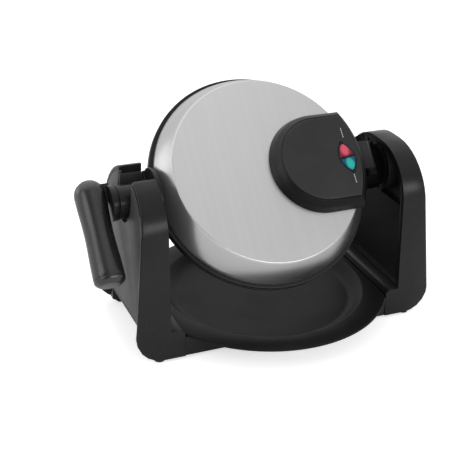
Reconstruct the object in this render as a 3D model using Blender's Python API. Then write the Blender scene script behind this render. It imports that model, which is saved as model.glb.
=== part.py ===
"""A flip waffle maker: a round cooking head that turns over between the two uprights of its stand.

Metres, +Z up. X runs along the turning axis, from the handle to the lid hinge, and the front faces -Y.
The stand is built about its own middle, and a parent empty moves the middle of the whole object to X
zero. The head is built level in its own frame, with its two halves meeting at height zero, and a parent
empty tilts it towards the front. Lid pieces hang on the lid hinge, and grip pieces on the fold pin.
"""

import math

import bmesh
import bpy
from mathutils import Vector

ORIGIN = (0.0, 0.0, 0.0)
GAP = 0.0003
OVERRUN = 0.02
MERGE = 0.000001
SHARP_ANGLE = math.radians(35.0)

AXIS_Z = 0.140
HEAD_X = -0.0093
HEAD_TILT = math.radians(45.0)
ROUND_STEPS = 40
SMALL_STEPS = 16
GRIP_STEPS = 28
PIN_STEPS = 10

SHELL_R = 0.105
SHELL_SHOULDER_WIDE = 0.0122
SHELL_FLAT_R = SHELL_R - SHELL_SHOULDER_WIDE
SHELL_FOOT = 0.004
SHELL_SHOULDER = 0.007
SHELL_BULGE = 0.0010
SHELL_TOP = 0.0310
SHELL_SKIN = 0.0010
SHOULDER_STEPS = 4

BEZEL_LIP = 0.004
BEZEL_R = SHELL_R + BEZEL_LIP
BEZEL_FACE = 0.0006
BEZEL_TOP = SHELL_FOOT - GAP
BEZEL_WALL = 0.0032
BEZEL_WALL_OUT_R = SHELL_R - SHELL_SKIN - GAP
BEZEL_WALL_IN_R = BEZEL_WALL_OUT_R - BEZEL_WALL
BEZEL_WALL_TOP = 0.0064

PLATE_MEET = 0.00015
PLATE_EDGE_CLEAR = 0.0007
PLATE_EDGE_R = BEZEL_WALL_IN_R - PLATE_EDGE_CLEAR
PLATE_LAP = 0.0028
BEZEL_IN_R = PLATE_EDGE_R - PLATE_LAP
PLATE_RIM_CLEAR = 0.0075
PLATE_RIM_R = BEZEL_IN_R - PLATE_RIM_CLEAR
PLATE_RIM_WIDE = 0.0050
PLATE_CAVITY_R = PLATE_RIM_R - PLATE_RIM_WIDE
PLATE_TAPER = 0.0035
PLATE_FLOOR_R = PLATE_CAVITY_R - PLATE_TAPER
PLATE_FLOOR = 0.0125
PLATE_SKIN = 0.0030
PLATE_BACK = PLATE_FLOOR + PLATE_SKIN
PLATE_BACK_INSET = 0.0015
PLATE_BACK_R = PLATE_RIM_R - PLATE_BACK_INSET
PLATE_EDGE_THICK = 0.0020
PLATE_EDGE_LOW = BEZEL_TOP + GAP
PLATE_EDGE_TOP = PLATE_EDGE_LOW + PLATE_EDGE_THICK
PLATE_STEP_R = PLATE_RIM_R + PLATE_SKIN
STUD_ROOT = 0.0105
STUD_GROOVE = 0.0053
STUD_PITCH = STUD_ROOT + STUD_GROOVE
STUD_TAPER = 0.0027
STUD_FACE = STUD_ROOT - STUD_TAPER
STUD_TOP = 0.0035
STUD_SINK = 0.0010
STUD_WALL_CLEAR = 0.0010
STUD_REACH = PLATE_FLOOR_R - STUD_WALL_CLEAR
DIVIDER_ROOT = 0.0050
DIVIDER_FACE = 0.0030

HEATER_R = 0.060
HEATER_TUBE_R = 0.0032
HEATER_SWEEP = math.radians(318.0)
HEATER_STEPS = 22
HEATER_TUBE_STEPS = 8
THERMOSTAT_R = 0.012
THERMOSTAT_HIGH = 0.006

FLANGE_R = 0.028
FLANGE_STEPS = 12
FLANGE_STEP = 0.0020
LID_FLANGE_X = HEAD_X - BEZEL_R
FLANGE_THICK = 0.0036
FLANGE_IN_X = LID_FLANGE_X + FLANGE_THICK
BODY_FLANGE_X = LID_FLANGE_X - FLANGE_STEP

HEAD_ROOM = 0.012
UPRIGHT_IN = BEZEL_R + HEAD_ROOM
UPRIGHT_FOOT_WIDE = 0.0363
UPRIGHT_TOP_WIDE = 0.0216
UPRIGHT_FOOT_OUT = UPRIGHT_IN + UPRIGHT_FOOT_WIDE
UPRIGHT_TOP_OUT = UPRIGHT_IN + UPRIGHT_TOP_WIDE
ARCH_R = 0.051
ARCH_OFF = 0.0074
ARCH_FLARE = 0.0080
FOOT_REACH = ARCH_R + ARCH_OFF + ARCH_FLARE
HUB_HEADROOM = 0.029
UPRIGHT_TOP = AXIS_Z + HUB_HEADROOM
ARCH_Z = UPRIGHT_TOP - ARCH_R
ARCH_STEPS = 20
LEDGE_WIDE = 0.0138
LEDGE_IN = UPRIGHT_IN - LEDGE_WIDE
LEDGE_TOP = 0.030
LEDGE_BEVEL = 0.003
CORNER_R = 0.026
CORNER_STEPS = 5
STAND_WALL = 0.003
BAND = 0.006
WEB_DEEP = 0.006
HUB_WEB_DEEP = 0.010
WEB_FACE = UPRIGHT_IN + WEB_DEEP
HUB_WEB_FACE = UPRIGHT_IN + HUB_WEB_DEEP
WEB_BACK = HUB_WEB_FACE + STAND_WALL
COVER_THICK = 0.003
COVER_RIM = 0.004
SILL_TOP = 0.043
SILL_RIM = 0.002
COVER_LOW = SILL_TOP + SILL_RIM
SILL_UNDER = 0.018
FOOT_DEEP = 0.0134
FOOT_SKIN = 0.0044
FOOT_BLOCK_WIDE = 0.012

NECK_END = UPRIGHT_IN - HEAD_X - GAP
HUB_R = 0.0200
BEARING_WALL = 0.0027
BEARING_R = HUB_R + GAP + BEARING_WALL
HUB_BORE_R = BEARING_R + GAP
HUB_RING_WALL = 0.0032
HUB_RING_R = HUB_BORE_R + HUB_RING_WALL
HUB_ZONE_CLEAR = 0.0015
HUB_ZONE_LOW = AXIS_Z - HUB_RING_R - HUB_ZONE_CLEAR
BEARING_SINK = 0.0015
BEARING_START = UPRIGHT_IN + BEARING_SINK
BEARING_END = HUB_WEB_FACE - GAP
HUB_START = NECK_END + GAP
HUB_END = BEARING_END - HEAD_X
HUB_STUB_R = 0.0120
RETAINER_R = 0.0180
RETAINER_THICK = 0.0024
RETAINER_START = WEB_BACK + GAP - HEAD_X
RETAINER_END = RETAINER_START + RETAINER_THICK
HUB_STUB_PAST = 0.0012
HUB_STUB_END = RETAINER_END + HUB_STUB_PAST

JOURNAL_R = 0.0160
JOURNAL_PAST = 0.0315
JOURNAL_START = BODY_FLANGE_X - GAP
JOURNAL_END = -(UPRIGHT_IN + JOURNAL_PAST)
JOURNAL_CLEAR = 0.0004
LINER_SKIN = 0.0028
LINER_R = JOURNAL_R + JOURNAL_CLEAR + LINER_SKIN
NOTCH_R = LINER_R + GAP
NOTCH_SHELF = 0.005
LINER_INSET = 0.0008
LINER_LONG = 0.0216
LINER_START = -(UPRIGHT_IN + LINER_INSET)
LINER_END = LINER_START - LINER_LONG
LINER_TOP = 0.0200

BRACKET_THICK = 0.0065
BRACKET_START = JOURNAL_END - GAP
BRACKET_END = BRACKET_START - BRACKET_THICK
BRACKET_R = JOURNAL_R + SHELL_SKIN
GRIP_R = 0.0147
GRIP_AWAY = 0.0010
FOLD_X = BRACKET_END - GRIP_AWAY - GRIP_R
FOLD_V = 0.0100
TONGUE_R = 0.0090
TONGUE_HALF = 0.0040
SLOT_CLEAR = 0.0010
GRIP_WAIST_R = 0.0134
GRIP_WAIST = 0.0380
GRIP_FULL = 0.0760
GRIP_END = 0.0805
GRIP_DOME_STEPS = 6
GRIP_WAIST_STEPS = 3
CAP_LONG = 0.0067
CAP_END = GRIP_END + GAP + CAP_LONG
CAP_EASE = 0.0042
CAP_END_R = GRIP_R - CAP_EASE
FOLD_PIN_R = 0.0025
FOLD_PIN_LOW = -0.0120
FOLD_PIN_HIGH = 0.0090

PAD_R = 0.0052
PAD_HIGH = 0.004
PAD_REST = 0.0025
PAD_IN = 0.0105
PAD_EDGE = 0.0065
PAD_X = UPRIGHT_IN + PAD_IN
PAD_Y = FOOT_REACH - PAD_EDGE

BAR_EDGE = 0.0012
BAR_WIDE = 0.0215
BAR_FRONT = FOOT_REACH - BAR_EDGE
BAR_BACK = BAR_FRONT - BAR_WIDE
BAR_LOW_TOP = 0.0122
BAR_END_TOP = 0.0222
BAR_END_LONG = 0.005
BAR_SLOPE_LONG = 0.014
BAR_RISE = LEDGE_IN - BAR_END_LONG
BAR_FLAT = BAR_RISE - BAR_SLOPE_LONG
TONGUE_LONG = 0.0115
TONGUE_TOP = 0.010
TONGUE_SIDE = 0.003
SCREW_HEAD_R = 0.0035
SCREW_HEAD_HIGH = 0.0025
SCREW_SHANK_R = 0.0018
SCREW_TOP = 0.018

TRAY_PAST_SHELL = 0.019
TRAY_R = SHELL_R + TRAY_PAST_SHELL
TRAY_RIM_WIDE = 0.023
TRAY_CROWN_IN = 0.012
TRAY_SLOPE_WIDE = 0.010
TRAY_RIM_R = TRAY_R - TRAY_RIM_WIDE
TRAY_CROWN_R = TRAY_R - TRAY_CROWN_IN
TRAY_FLOOR_R = TRAY_RIM_R - TRAY_SLOPE_WIDE
TRAY_SKIN = 0.0020
TRAY_REST = 0.0008
TRAY_FLOOR_Z = BAR_LOW_TOP + TRAY_REST + TRAY_SKIN
TRAY_DEEP = 0.0100
TRAY_RIM_Z = TRAY_FLOOR_Z + TRAY_DEEP
TRAY_CROWN = 0.0010
TRAY_CROWN_Z = TRAY_RIM_Z + TRAY_CROWN
TRAY_LIP = 0.0022
TRAY_LIP_Z = TRAY_RIM_Z - TRAY_LIP
TRAY_SIDE_CLEAR = 0.0005
TRAY_HALF_X = LEDGE_IN - TRAY_SIDE_CLEAR

CONSOLE_ROUND_R = 0.0515
CONSOLE_EDGE_IN = 0.0055
CONSOLE_EDGE_R = SHELL_R - CONSOLE_EDGE_IN
CONSOLE_LONG = 0.0450
CONSOLE_ROUND_U = CONSOLE_EDGE_R - CONSOLE_LONG
CONSOLE_END_STEPS = 18
CONSOLE_EDGE_STEPS = 8
CONSOLE_FOOT = SHELL_TOP + GAP
CONSOLE_KNEE = SHELL_TOP + 0.0090
CONSOLE_KNEE_INSET = 0.0025
CONSOLE_TOP = SHELL_TOP + 0.0138
CONSOLE_TOP_INSET = 0.0070
CONSOLE_SEAT_DEEP = 0.0011
CONSOLE_SEAT = CONSOLE_TOP - CONSOLE_SEAT_DEEP
CONSOLE_SEAT_INSET = 0.0082
CONSOLE_PANEL_PROUD = 0.0014
CONSOLE_PANEL_BEVEL = 0.0013
CONSOLE_PANEL_TOP = CONSOLE_TOP + CONSOLE_PANEL_PROUD

LENS_EDGE = 0.0232
LENS_U = CONSOLE_EDGE_R - LENS_EDGE
LENS_V = -0.0043
LENS_TILT = math.radians(8.0)
LENS_HALF_LONG = 0.0173
LENS_HALF_WIDE = 0.0087
LENS_FRAME = 0.0014
LENS_SINK = 0.0016
LENS_SEAT = CONSOLE_PANEL_TOP - LENS_SINK
LENS_PROUD = 0.0010
LENS_TOP = CONSOLE_PANEL_TOP + LENS_PROUD
LENS_STEPS = 7
LENS_SHARES = ((-0.90, -0.06), (0.06, 0.90))
LENS_EASE_SHARE = 0.02

HINGE_AWAY = 0.001
HINGE_U = SHELL_R + HINGE_AWAY
HINGE_DROP = 0.003
HINGE_H = SHELL_TOP - HINGE_DROP
KNUCKLE_R = 0.0065
KNUCKLE_HALF = 0.0144
KNUCKLE_SWEEP = math.radians(225.0)
HINGE_PIN_R = 0.0025
EAR_IN = KNUCKLE_HALF + GAP
EAR_WIDE = 0.0063
EAR_OUT = EAR_IN + EAR_WIDE
EAR_SKIN = 0.0020
HINGE_PIN_SINK = 0.0005
WEB_CLEAR = 0.0012
WEB_IN = 0.0045
WEB_SHARES = (0.72, 0.84, 0.94)

NECK_CLEAR = 0.0012
NECK_U = BEZEL_R + NECK_CLEAR
NECK_TOP = 0.0080
NECK_LOW = -0.0100
SADDLE_CLEAR = 0.0005
SADDLE_U = SHELL_R + SADDLE_CLEAR
SADDLE_LOW = -0.0120

GLAND_IN = 0.0202
GLAND_X = UPRIGHT_IN + GLAND_IN
GLAND_Z = 0.058
GLAND_BORE_R = 0.0025
GLAND_R = 0.0042
GLAND_FLANGE_R = 0.0060
GLAND_FLANGE = 0.0020

BLACK_PLASTIC = ("black_plastic", (0.018, 0.018, 0.019), 0.42, 0.0)
SIDE_PLASTIC = ("side_cover_plastic", (0.030, 0.030, 0.032), 0.50, 0.0)
TRAY_PLASTIC = ("tray_plastic", (0.014, 0.014, 0.015), 0.36, 0.0)
STEEL = ("brushed_steel", (0.62, 0.61, 0.60), 0.34, 1.0)
BRIGHT_STEEL = ("bright_steel", (0.66, 0.66, 0.66), 0.22, 1.0)
COATED_ALUMINIUM = ("coated_aluminium", (0.045, 0.045, 0.047), 0.38, 0.6)
HEATER_METAL = ("heater_sheath", (0.20, 0.19, 0.18), 0.50, 1.0)
BEARING_PLASTIC = ("bearing_plastic", (0.055, 0.055, 0.057), 0.45, 0.0)
RUBBER = ("rubber", (0.020, 0.020, 0.020), 0.85, 0.0)
GRIP_PLASTIC = ("grip_plastic", (0.016, 0.016, 0.017), 0.48, 0.0)
CERAMIC = ("thermostat_ceramic", (0.70, 0.68, 0.62), 0.60, 0.0)
RED_LENS = ("red_lens", (0.75, 0.10, 0.14), 0.25, 0.0)
GREEN_LENS = ("green_lens", (0.03, 0.42, 0.40), 0.25, 0.0)
LENS_BLACK = ("lens_frame_plastic", (0.010, 0.012, 0.014), 0.25, 0.0)


def clear_scene():
    """Removes what the new file starts with."""
    for item in list(bpy.data.objects):
        bpy.data.objects.remove(item)


def material(finish):
    """The Principled material of one finish, made once."""
    name, colour, roughness, metallic = finish
    found = bpy.data.materials.get(name)
    if found:
        return found
    made = bpy.data.materials.new(name)
    made.use_nodes = True
    made.diffuse_color = (*colour, 1.0)
    shader = made.node_tree.nodes["Principled BSDF"]
    shader.inputs["Base Color"].default_value = (*colour, 1.0)
    shader.inputs["Roughness"].default_value = roughness
    shader.inputs["Metallic"].default_value = metallic
    return made


def raw_object(bm, name="shape"):
    """An object from a bmesh, with its faces turned outwards."""
    bmesh.ops.remove_doubles(bm, verts=bm.verts, dist=MERGE)
    bmesh.ops.recalc_face_normals(bm, faces=bm.faces)
    mesh = bpy.data.meshes.new(name)
    bm.to_mesh(mesh)
    bm.free()
    made = bpy.data.objects.new(name, mesh)
    bpy.context.scene.collection.objects.link(made)
    return made


def combined(body, tool, operation):
    """The body after one Boolean with the tool, which is then removed."""
    change = body.modifiers.new("change", "BOOLEAN")
    change.operation = operation
    change.object = tool
    bpy.context.view_layer.update()
    graph = bpy.context.evaluated_depsgraph_get()
    result = bpy.data.meshes.new_from_object(body.evaluated_get(graph))
    body.modifiers.remove(change)
    body.data = result
    bpy.data.objects.remove(tool)
    return body


def cut(body, *tools):
    """The body less each tool."""
    for tool in tools:
        combined(body, tool, "DIFFERENCE")
    return body


def joined(body, *tools):
    """The body with each tool welded on."""
    for tool in tools:
        combined(body, tool, "UNION")
    return body


def finished(body, name, finish, parent):
    """Names the body, gives it its material and hangs it on its parent empty."""
    body.name = name
    body.data.name = name
    body.data.materials.clear()
    body.data.materials.append(material(finish))
    body.data.shade_smooth()
    body.data.set_sharp_from_angle(angle=SHARP_ANGLE)
    body.parent = parent
    body.location = parent["mesh_offset"]
    return body


def frame_empty(name, place, parent=None, tilt=0.0):
    """An empty whose pieces are built in its own frame."""
    made = bpy.data.objects.new(name, None)
    bpy.context.scene.collection.objects.link(made)
    made.location = place
    made.rotation_euler = (tilt, 0.0, 0.0)
    made.parent = parent
    made["mesh_offset"] = ORIGIN
    return made


def joint_empty(name, place, parent):
    """An empty on a joint's axis. Its pieces are built in the parent's frame and hang at minus its place."""
    made = frame_empty(name, place, parent)
    made["mesh_offset"] = tuple(-value for value in place)
    return made


def arc(radius, start, sweep, steps, centre=(0.0, 0.0)):
    """Points along an arc, both ends included. Angles are in radians."""
    angles = [start + sweep * step / steps for step in range(steps + 1)]
    return [(centre[0] + radius * math.cos(a), centre[1] + radius * math.sin(a)) for a in angles]


def circle(radius, steps, centre=(0.0, 0.0)):
    """Points round a full circle."""
    return arc(radius, 0.0, math.tau, steps, centre)[:-1]


def prism(outline, axis, low, high):
    """A straight prism across X, Y or Z. The outline's pairs are (y, z), (x, z) or (x, y)."""
    place = {
        "X": lambda a, b, t: (t, a, b),
        "Y": lambda a, b, t: (a, t, b),
        "Z": lambda a, b, t: (a, b, t),
    }[axis]
    bm = bmesh.new()
    base = bm.faces.new([bm.verts.new(place(a, b, low)) for a, b in outline])
    moved = bmesh.ops.extrude_face_region(bm, geom=[base])["geom"]
    corners = [item for item in moved if isinstance(item, bmesh.types.BMVert)]
    shift = Vector(place(0.0, 0.0, high)) - Vector(place(0.0, 0.0, low))
    bmesh.ops.translate(bm, verts=corners, vec=shift)
    return raw_object(bm)


def box(low, high):
    """An upright box between two corners."""
    (x0, y0, z0), (x1, y1, z1) = low, high
    return prism([(x0, y0), (x1, y0), (x1, y1), (x0, y1)], "Z", z0, z1)


def revolved(profile, steps, turn=(0.0, 0.0, 1.0)):
    """A solid of revolution about Z, or X. The profile is (radius, height) pairs, closed or axis to axis."""
    along_x = turn[0] == 1.0
    bm = bmesh.new()
    points = [(h, r, 0.0) if along_x else (r, 0.0, h) for r, h in profile]
    verts = [bm.verts.new(point) for point in points]
    edges = [bm.edges.new(pair) for pair in zip(verts, verts[1:])]
    if profile[0][0] > 0.0 or profile[-1][0] > 0.0:
        edges.append(bm.edges.new((verts[-1], verts[0])))
    bmesh.ops.spin(
        bm, geom=verts + edges, cent=ORIGIN, axis=turn, angle=math.tau, steps=steps, use_merge=True
    )
    return raw_object(bm)


def lofted(rings):
    """A solid through rings of equal count, closed by its first and last ring."""
    bm = bmesh.new()
    loops = [[bm.verts.new(point) for point in ring] for ring in rings]
    count = len(loops[0])
    for lower, upper in zip(loops, loops[1:]):
        for i in range(count):
            j = (i + 1) % count
            bm.faces.new((lower[i], lower[j], upper[j], upper[i]))
    bm.faces.new(list(reversed(loops[0])))
    bm.faces.new(loops[-1])
    return raw_object(bm)


def flipped(body):
    """The body mirrored through height zero, for the lower half of the head."""
    bm = bmesh.new()
    bm.from_mesh(body.data)
    bmesh.ops.scale(bm, vec=(1.0, 1.0, -1.0), verts=bm.verts)
    bmesh.ops.recalc_face_normals(bm, faces=bm.faces)
    bm.to_mesh(body.data)
    bm.free()
    return body


def mirrored_x(body):
    """The body mirrored through X zero, for the other end of the stand."""
    bm = bmesh.new()
    bm.from_mesh(body.data)
    bmesh.ops.scale(bm, vec=(-1.0, 1.0, 1.0), verts=bm.verts)
    bmesh.ops.recalc_face_normals(bm, faces=bm.faces)
    bm.to_mesh(body.data)
    bm.free()
    return body


def side_reach(z):
    """How far an upright's leaning front and rear faces stand from its middle at one height."""
    return FOOT_REACH - ARCH_FLARE * (z - PAD_REST) / (ARCH_Z - PAD_REST)


def arch_outline(inset, low):
    """The side view of an upright, (y, z): leaning sides under two quarter circles, drawn in by the inset."""
    radius = ARCH_R - inset
    foot = side_reach(low) - inset
    rear = arc(radius, 0.0, math.pi / 2, ARCH_STEPS // 2, (ARCH_OFF, ARCH_Z))
    front = arc(radius, math.pi / 2, math.pi / 2, ARCH_STEPS // 2, (-ARCH_OFF, ARCH_Z))
    return [(-foot, low), (foot, low)] + rear + front


def outer_x(z, inset=0.0):
    """How far out the leaning outer face of an upright is at one height."""
    share = (z - PAD_REST) / (UPRIGHT_TOP - PAD_REST)
    return UPRIGHT_FOOT_OUT + (UPRIGHT_TOP_OUT - UPRIGHT_FOOT_OUT) * share - inset


def upright_front_outline():
    """The front view of the right upright, (x, z), with its ledge and its round bottom corner."""
    corner_x = outer_x(PAD_REST + CORNER_R) - CORNER_R
    corner = arc(CORNER_R, -math.pi / 2, math.pi / 2, CORNER_STEPS, (corner_x, PAD_REST + CORNER_R))
    high = UPRIGHT_TOP + OVERRUN
    return (
        [(LEDGE_IN, PAD_REST)]
        + corner
        + [(outer_x(high), high), (UPRIGHT_IN, high), (UPRIGHT_IN, LEDGE_TOP)]
        + [(LEDGE_IN + LEDGE_BEVEL, LEDGE_TOP), (LEDGE_IN, LEDGE_TOP - LEDGE_BEVEL)]
    )


def notch_outline(radius):
    """The open-topped notch for the journal, (y, z)."""
    high = UPRIGHT_TOP + OVERRUN
    return arc(radius, -math.pi, math.pi, ARCH_STEPS // 2, (0.0, AXIS_Z)) + [(radius, high), (-radius, high)]


def upright_blank():
    """The right upright without its pockets: the front view crossed with the side view."""
    reach = FOOT_REACH + OVERRUN
    blank = prism(upright_front_outline(), "Y", -reach, reach)
    side = prism(arch_outline(0.0, 0.0), "X", LEDGE_IN - OVERRUN, UPRIGHT_FOOT_OUT + OVERRUN)
    return combined(blank, side, "INTERSECT")


def cover_slab(skin, rim, low):
    """What lies within the skin's depth of the leaning outer face, inside the rim of the side view."""
    slab = prism(arch_outline(rim, low), "X", UPRIGHT_IN, UPRIGHT_FOOT_OUT + OVERRUN)
    high = UPRIGHT_TOP + OVERRUN
    lean = [(outer_x(0.0, skin), 0.0), (outer_x(0.0), 0.0)]
    lean += [(outer_x(high), high), (outer_x(high, skin), high)]
    reach = FOOT_REACH + OVERRUN
    return combined(slab, prism(lean, "Y", -reach, reach), "INTERSECT")


def cover_seat():
    """The cutter that sinks the seat of a side cover into the outer face."""
    slab = prism(arch_outline(COVER_RIM, COVER_LOW), "X", UPRIGHT_IN, UPRIGHT_FOOT_OUT + OVERRUN)
    high = UPRIGHT_TOP + OVERRUN
    deep = COVER_THICK + GAP
    lean = [(outer_x(0.0, deep), 0.0), (outer_x(0.0) + OVERRUN, 0.0)]
    lean += [(outer_x(high) + OVERRUN, high), (outer_x(high, deep), high)]
    reach = FOOT_REACH + OVERRUN
    return combined(slab, prism(lean, "Y", -reach, reach), "INTERSECT")


def tongue_pocket(side):
    """The cutter for a crossbar's tongue in the ledge, at the front (-1) or the rear (1)."""
    ys = sorted((side * (BAR_BACK + TONGUE_SIDE - GAP), side * (BAR_FRONT - TONGUE_SIDE + GAP)))
    low = (LEDGE_IN - OVERRUN, ys[0], 0.0)
    high = (LEDGE_IN + TONGUE_LONG + GAP, ys[1], TONGUE_TOP + GAP)
    return box(low, high)


def sill():
    """The cutters that raise an upright's side between its front and rear foot."""
    far = UPRIGHT_FOOT_OUT + OVERRUN
    inner = FOOT_REACH - FOOT_DEEP
    outer = FOOT_REACH - FOOT_SKIN
    wall = WEB_FACE + STAND_WALL
    under = box((UPRIGHT_IN, -inner, 0.0), (far, inner, SILL_UNDER))
    block = box((wall, -inner, 0.0), (far, inner, SILL_TOP))
    skin = box((wall + FOOT_BLOCK_WIDE, -outer, 0.0), (far, outer, SILL_TOP))
    return under, block, skin


def screw_place(side_x, side_y):
    """Where a crossbar's screw stands, (x, y)."""
    middle = (BAR_BACK + BAR_FRONT) / 2
    return side_x * (LEDGE_IN + TONGUE_LONG / 2), side_y * middle


def upright(notched):
    """One upright as a hollow moulding. The left one has the journal's notch, the right one the hub."""
    body = upright_blank()
    for side in (-1, 1):
        place = screw_place(1, side)
        bore = circle(SCREW_SHANK_R + GAP, PIN_STEPS, place)
        body = cut(body, tongue_pocket(side), prism(bore, "Z", 0.0, SCREW_TOP + GAP))
        pad = circle(PAD_R + GAP, SMALL_STEPS, (PAD_X, side * PAD_Y))
        body = cut(body, prism(pad, "Z", 0.0, PAD_HIGH + GAP))
    cut(body, cover_seat(), *sill())
    pocket_low = COVER_LOW + STAND_WALL
    web_low = LEDGE_TOP + STAND_WALL
    far = UPRIGHT_FOOT_OUT + OVERRUN
    if notched:
        ceiling = AXIS_Z - NOTCH_R - NOTCH_SHELF
        inside = prism(arch_outline(BAND + STAND_WALL, pocket_low), "X", WEB_FACE + STAND_WALL, far)
        reach = FOOT_REACH + OVERRUN
        combined(inside, box((0.0, -reach, 0.0), (far + OVERRUN, reach, ceiling)), "INTERSECT")
        recess = prism(arch_outline(BAND, web_low), "X", 0.0, WEB_FACE)
        combined(recess, box((-OVERRUN, -reach, 0.0), (far, reach, ceiling)), "INTERSECT")
        cut(body, inside, recess, prism(notch_outline(NOTCH_R), "X", 0.0, far))
        return mirrored_x(body)
    inside = prism(arch_outline(BAND + STAND_WALL, pocket_low), "X", WEB_BACK, far)
    recess = prism(arch_outline(BAND, web_low), "X", 0.0, HUB_WEB_FACE)
    low_web = box((WEB_FACE, -far, 0.0), (far, far, HUB_ZONE_LOW))
    ring = prism(circle(HUB_RING_R, ROUND_STEPS // 2, (0.0, AXIS_Z)), "X", -OVERRUN, far)
    cut(recess, low_web, ring)
    cut(body, inside, recess)
    hub_bore = prism(circle(HUB_BORE_R, ROUND_STEPS // 2, (0.0, AXIS_Z)), "X", 0.0, HUB_WEB_FACE)
    stub_bore = prism(circle(HUB_STUB_R + GAP * 2, SMALL_STEPS, (0.0, AXIS_Z)), "X", 0.0, WEB_BACK + GAP)
    gland_circle = circle(GLAND_R + GAP, SMALL_STEPS, (GLAND_X, GLAND_Z))
    gland_hole = prism(gland_circle, "Y", ARCH_R - OVERRUN, FOOT_REACH + OVERRUN)
    return cut(body, hub_bore, stub_bore, gland_hole)


def side_cover(notched):
    """The flat panel that closes an upright's outer side."""
    panel = cover_slab(COVER_THICK, COVER_RIM + GAP, COVER_LOW + GAP)
    if notched:
        cut(panel, prism(notch_outline(NOTCH_R), "X", 0.0, UPRIGHT_FOOT_OUT + OVERRUN))
        return mirrored_x(panel)
    return panel


def crossbar(side):
    """A crossbar of the stand, low under the tray, with tongues that reach into both ledges."""
    end = LEDGE_IN - GAP
    outline = [(-end, PAD_REST), (end, PAD_REST), (end, BAR_END_TOP), (BAR_RISE, BAR_END_TOP)]
    outline += [(BAR_FLAT, BAR_LOW_TOP), (-BAR_FLAT, BAR_LOW_TOP)]
    outline += [(-BAR_RISE, BAR_END_TOP), (-end, BAR_END_TOP)]
    ys = sorted((side * BAR_BACK, side * BAR_FRONT))
    bar = prism(outline, "Y", ys[0], ys[1])
    tongue_ys = (ys[0] + TONGUE_SIDE, ys[1] - TONGUE_SIDE)
    reach = LEDGE_IN + TONGUE_LONG
    joined(bar, box((-reach, tongue_ys[0], PAD_REST), (reach, tongue_ys[1], TONGUE_TOP)))
    hollow_ys = (ys[0] + STAND_WALL, ys[1] - STAND_WALL)
    hollow = box((-BAR_FLAT, hollow_ys[0], 0.0), (BAR_FLAT, hollow_ys[1], BAR_LOW_TOP - STAND_WALL))
    cut(bar, hollow)
    for side_x in (-1, 1):
        place = screw_place(side_x, side)
        head = prism(circle(SCREW_HEAD_R + GAP, PIN_STEPS, place), "Z", 0.0, PAD_REST + SCREW_HEAD_HIGH + GAP)
        shank = prism(circle(SCREW_SHANK_R + GAP, PIN_STEPS, place), "Z", 0.0, TONGUE_TOP + OVERRUN)
        cut(bar, head, shank)
    return bar


def crossbar_screw(side_x, side_y):
    """A screw that holds a tongue in its ledge from below."""
    centre = screw_place(side_x, side_y)
    seat = PAD_REST + SCREW_HEAD_HIGH
    levels = [(SCREW_HEAD_R, PAD_REST), (SCREW_HEAD_R, seat)]
    levels += [(SCREW_SHANK_R, seat), (SCREW_SHANK_R, SCREW_TOP)]
    rings = []
    for radius, height in levels:
        rings.append([(x, y, height) for x, y in circle(radius, PIN_STEPS, centre)])
    return lofted(rings)


def foot_pad(side_x, side_y):
    """A rubber foot, pressed into its seat under an upright."""
    centre = (side_x * PAD_X, side_y * PAD_Y)
    return prism(circle(PAD_R, SMALL_STEPS, centre), "Z", 0.0, PAD_HIGH)


def cradle_liner():
    """The bearing strip in the notch, open at the top like the notch itself."""
    inner = LINER_R - LINER_SKIN
    outer = arc(LINER_R, -math.pi, math.pi, ARCH_STEPS // 2, (0.0, AXIS_Z))
    inside = arc(inner, 0.0, -math.pi, ARCH_STEPS // 2, (0.0, AXIS_Z))
    high = AXIS_Z + LINER_TOP
    outline = outer + [(LINER_R, high), (inner, high)] + inside + [(-inner, high), (-LINER_R, high)]
    return prism(outline, "X", LINER_END, LINER_START)


def hub_bearing():
    """The bush in the right upright."""
    bore = HUB_R + GAP
    start, end = BEARING_START, BEARING_END
    profile = [(bore, start), (BEARING_R, start), (BEARING_R, end), (bore, end)]
    bush = revolved(profile, ROUND_STEPS // 2, (1.0, 0.0, 0.0))
    for vertex in bush.data.vertices:
        vertex.co.z += AXIS_Z
    return bush


def cord_gland():
    """The rubber gland in the rear wall of the right upright, where a cord would leave."""
    inside = side_reach(GLAND_Z + GLAND_FLANGE_R) - BAND - STAND_WALL - GAP
    outside = side_reach(GLAND_Z - GLAND_FLANGE_R) + GAP
    profile = [
        (GLAND_BORE_R, inside - GLAND_FLANGE),
        (GLAND_FLANGE_R, inside - GLAND_FLANGE),
        (GLAND_FLANGE_R, inside),
        (GLAND_R, inside),
        (GLAND_R, outside),
        (GLAND_FLANGE_R, outside),
        (GLAND_R, outside + GLAND_FLANGE),
        (GLAND_BORE_R, outside + GLAND_FLANGE),
    ]
    gland = revolved(profile, SMALL_STEPS)
    for vertex in gland.data.vertices:
        x, y, z = vertex.co
        vertex.co = (GLAND_X + x, z, GLAND_Z - y)
    return gland


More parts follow.
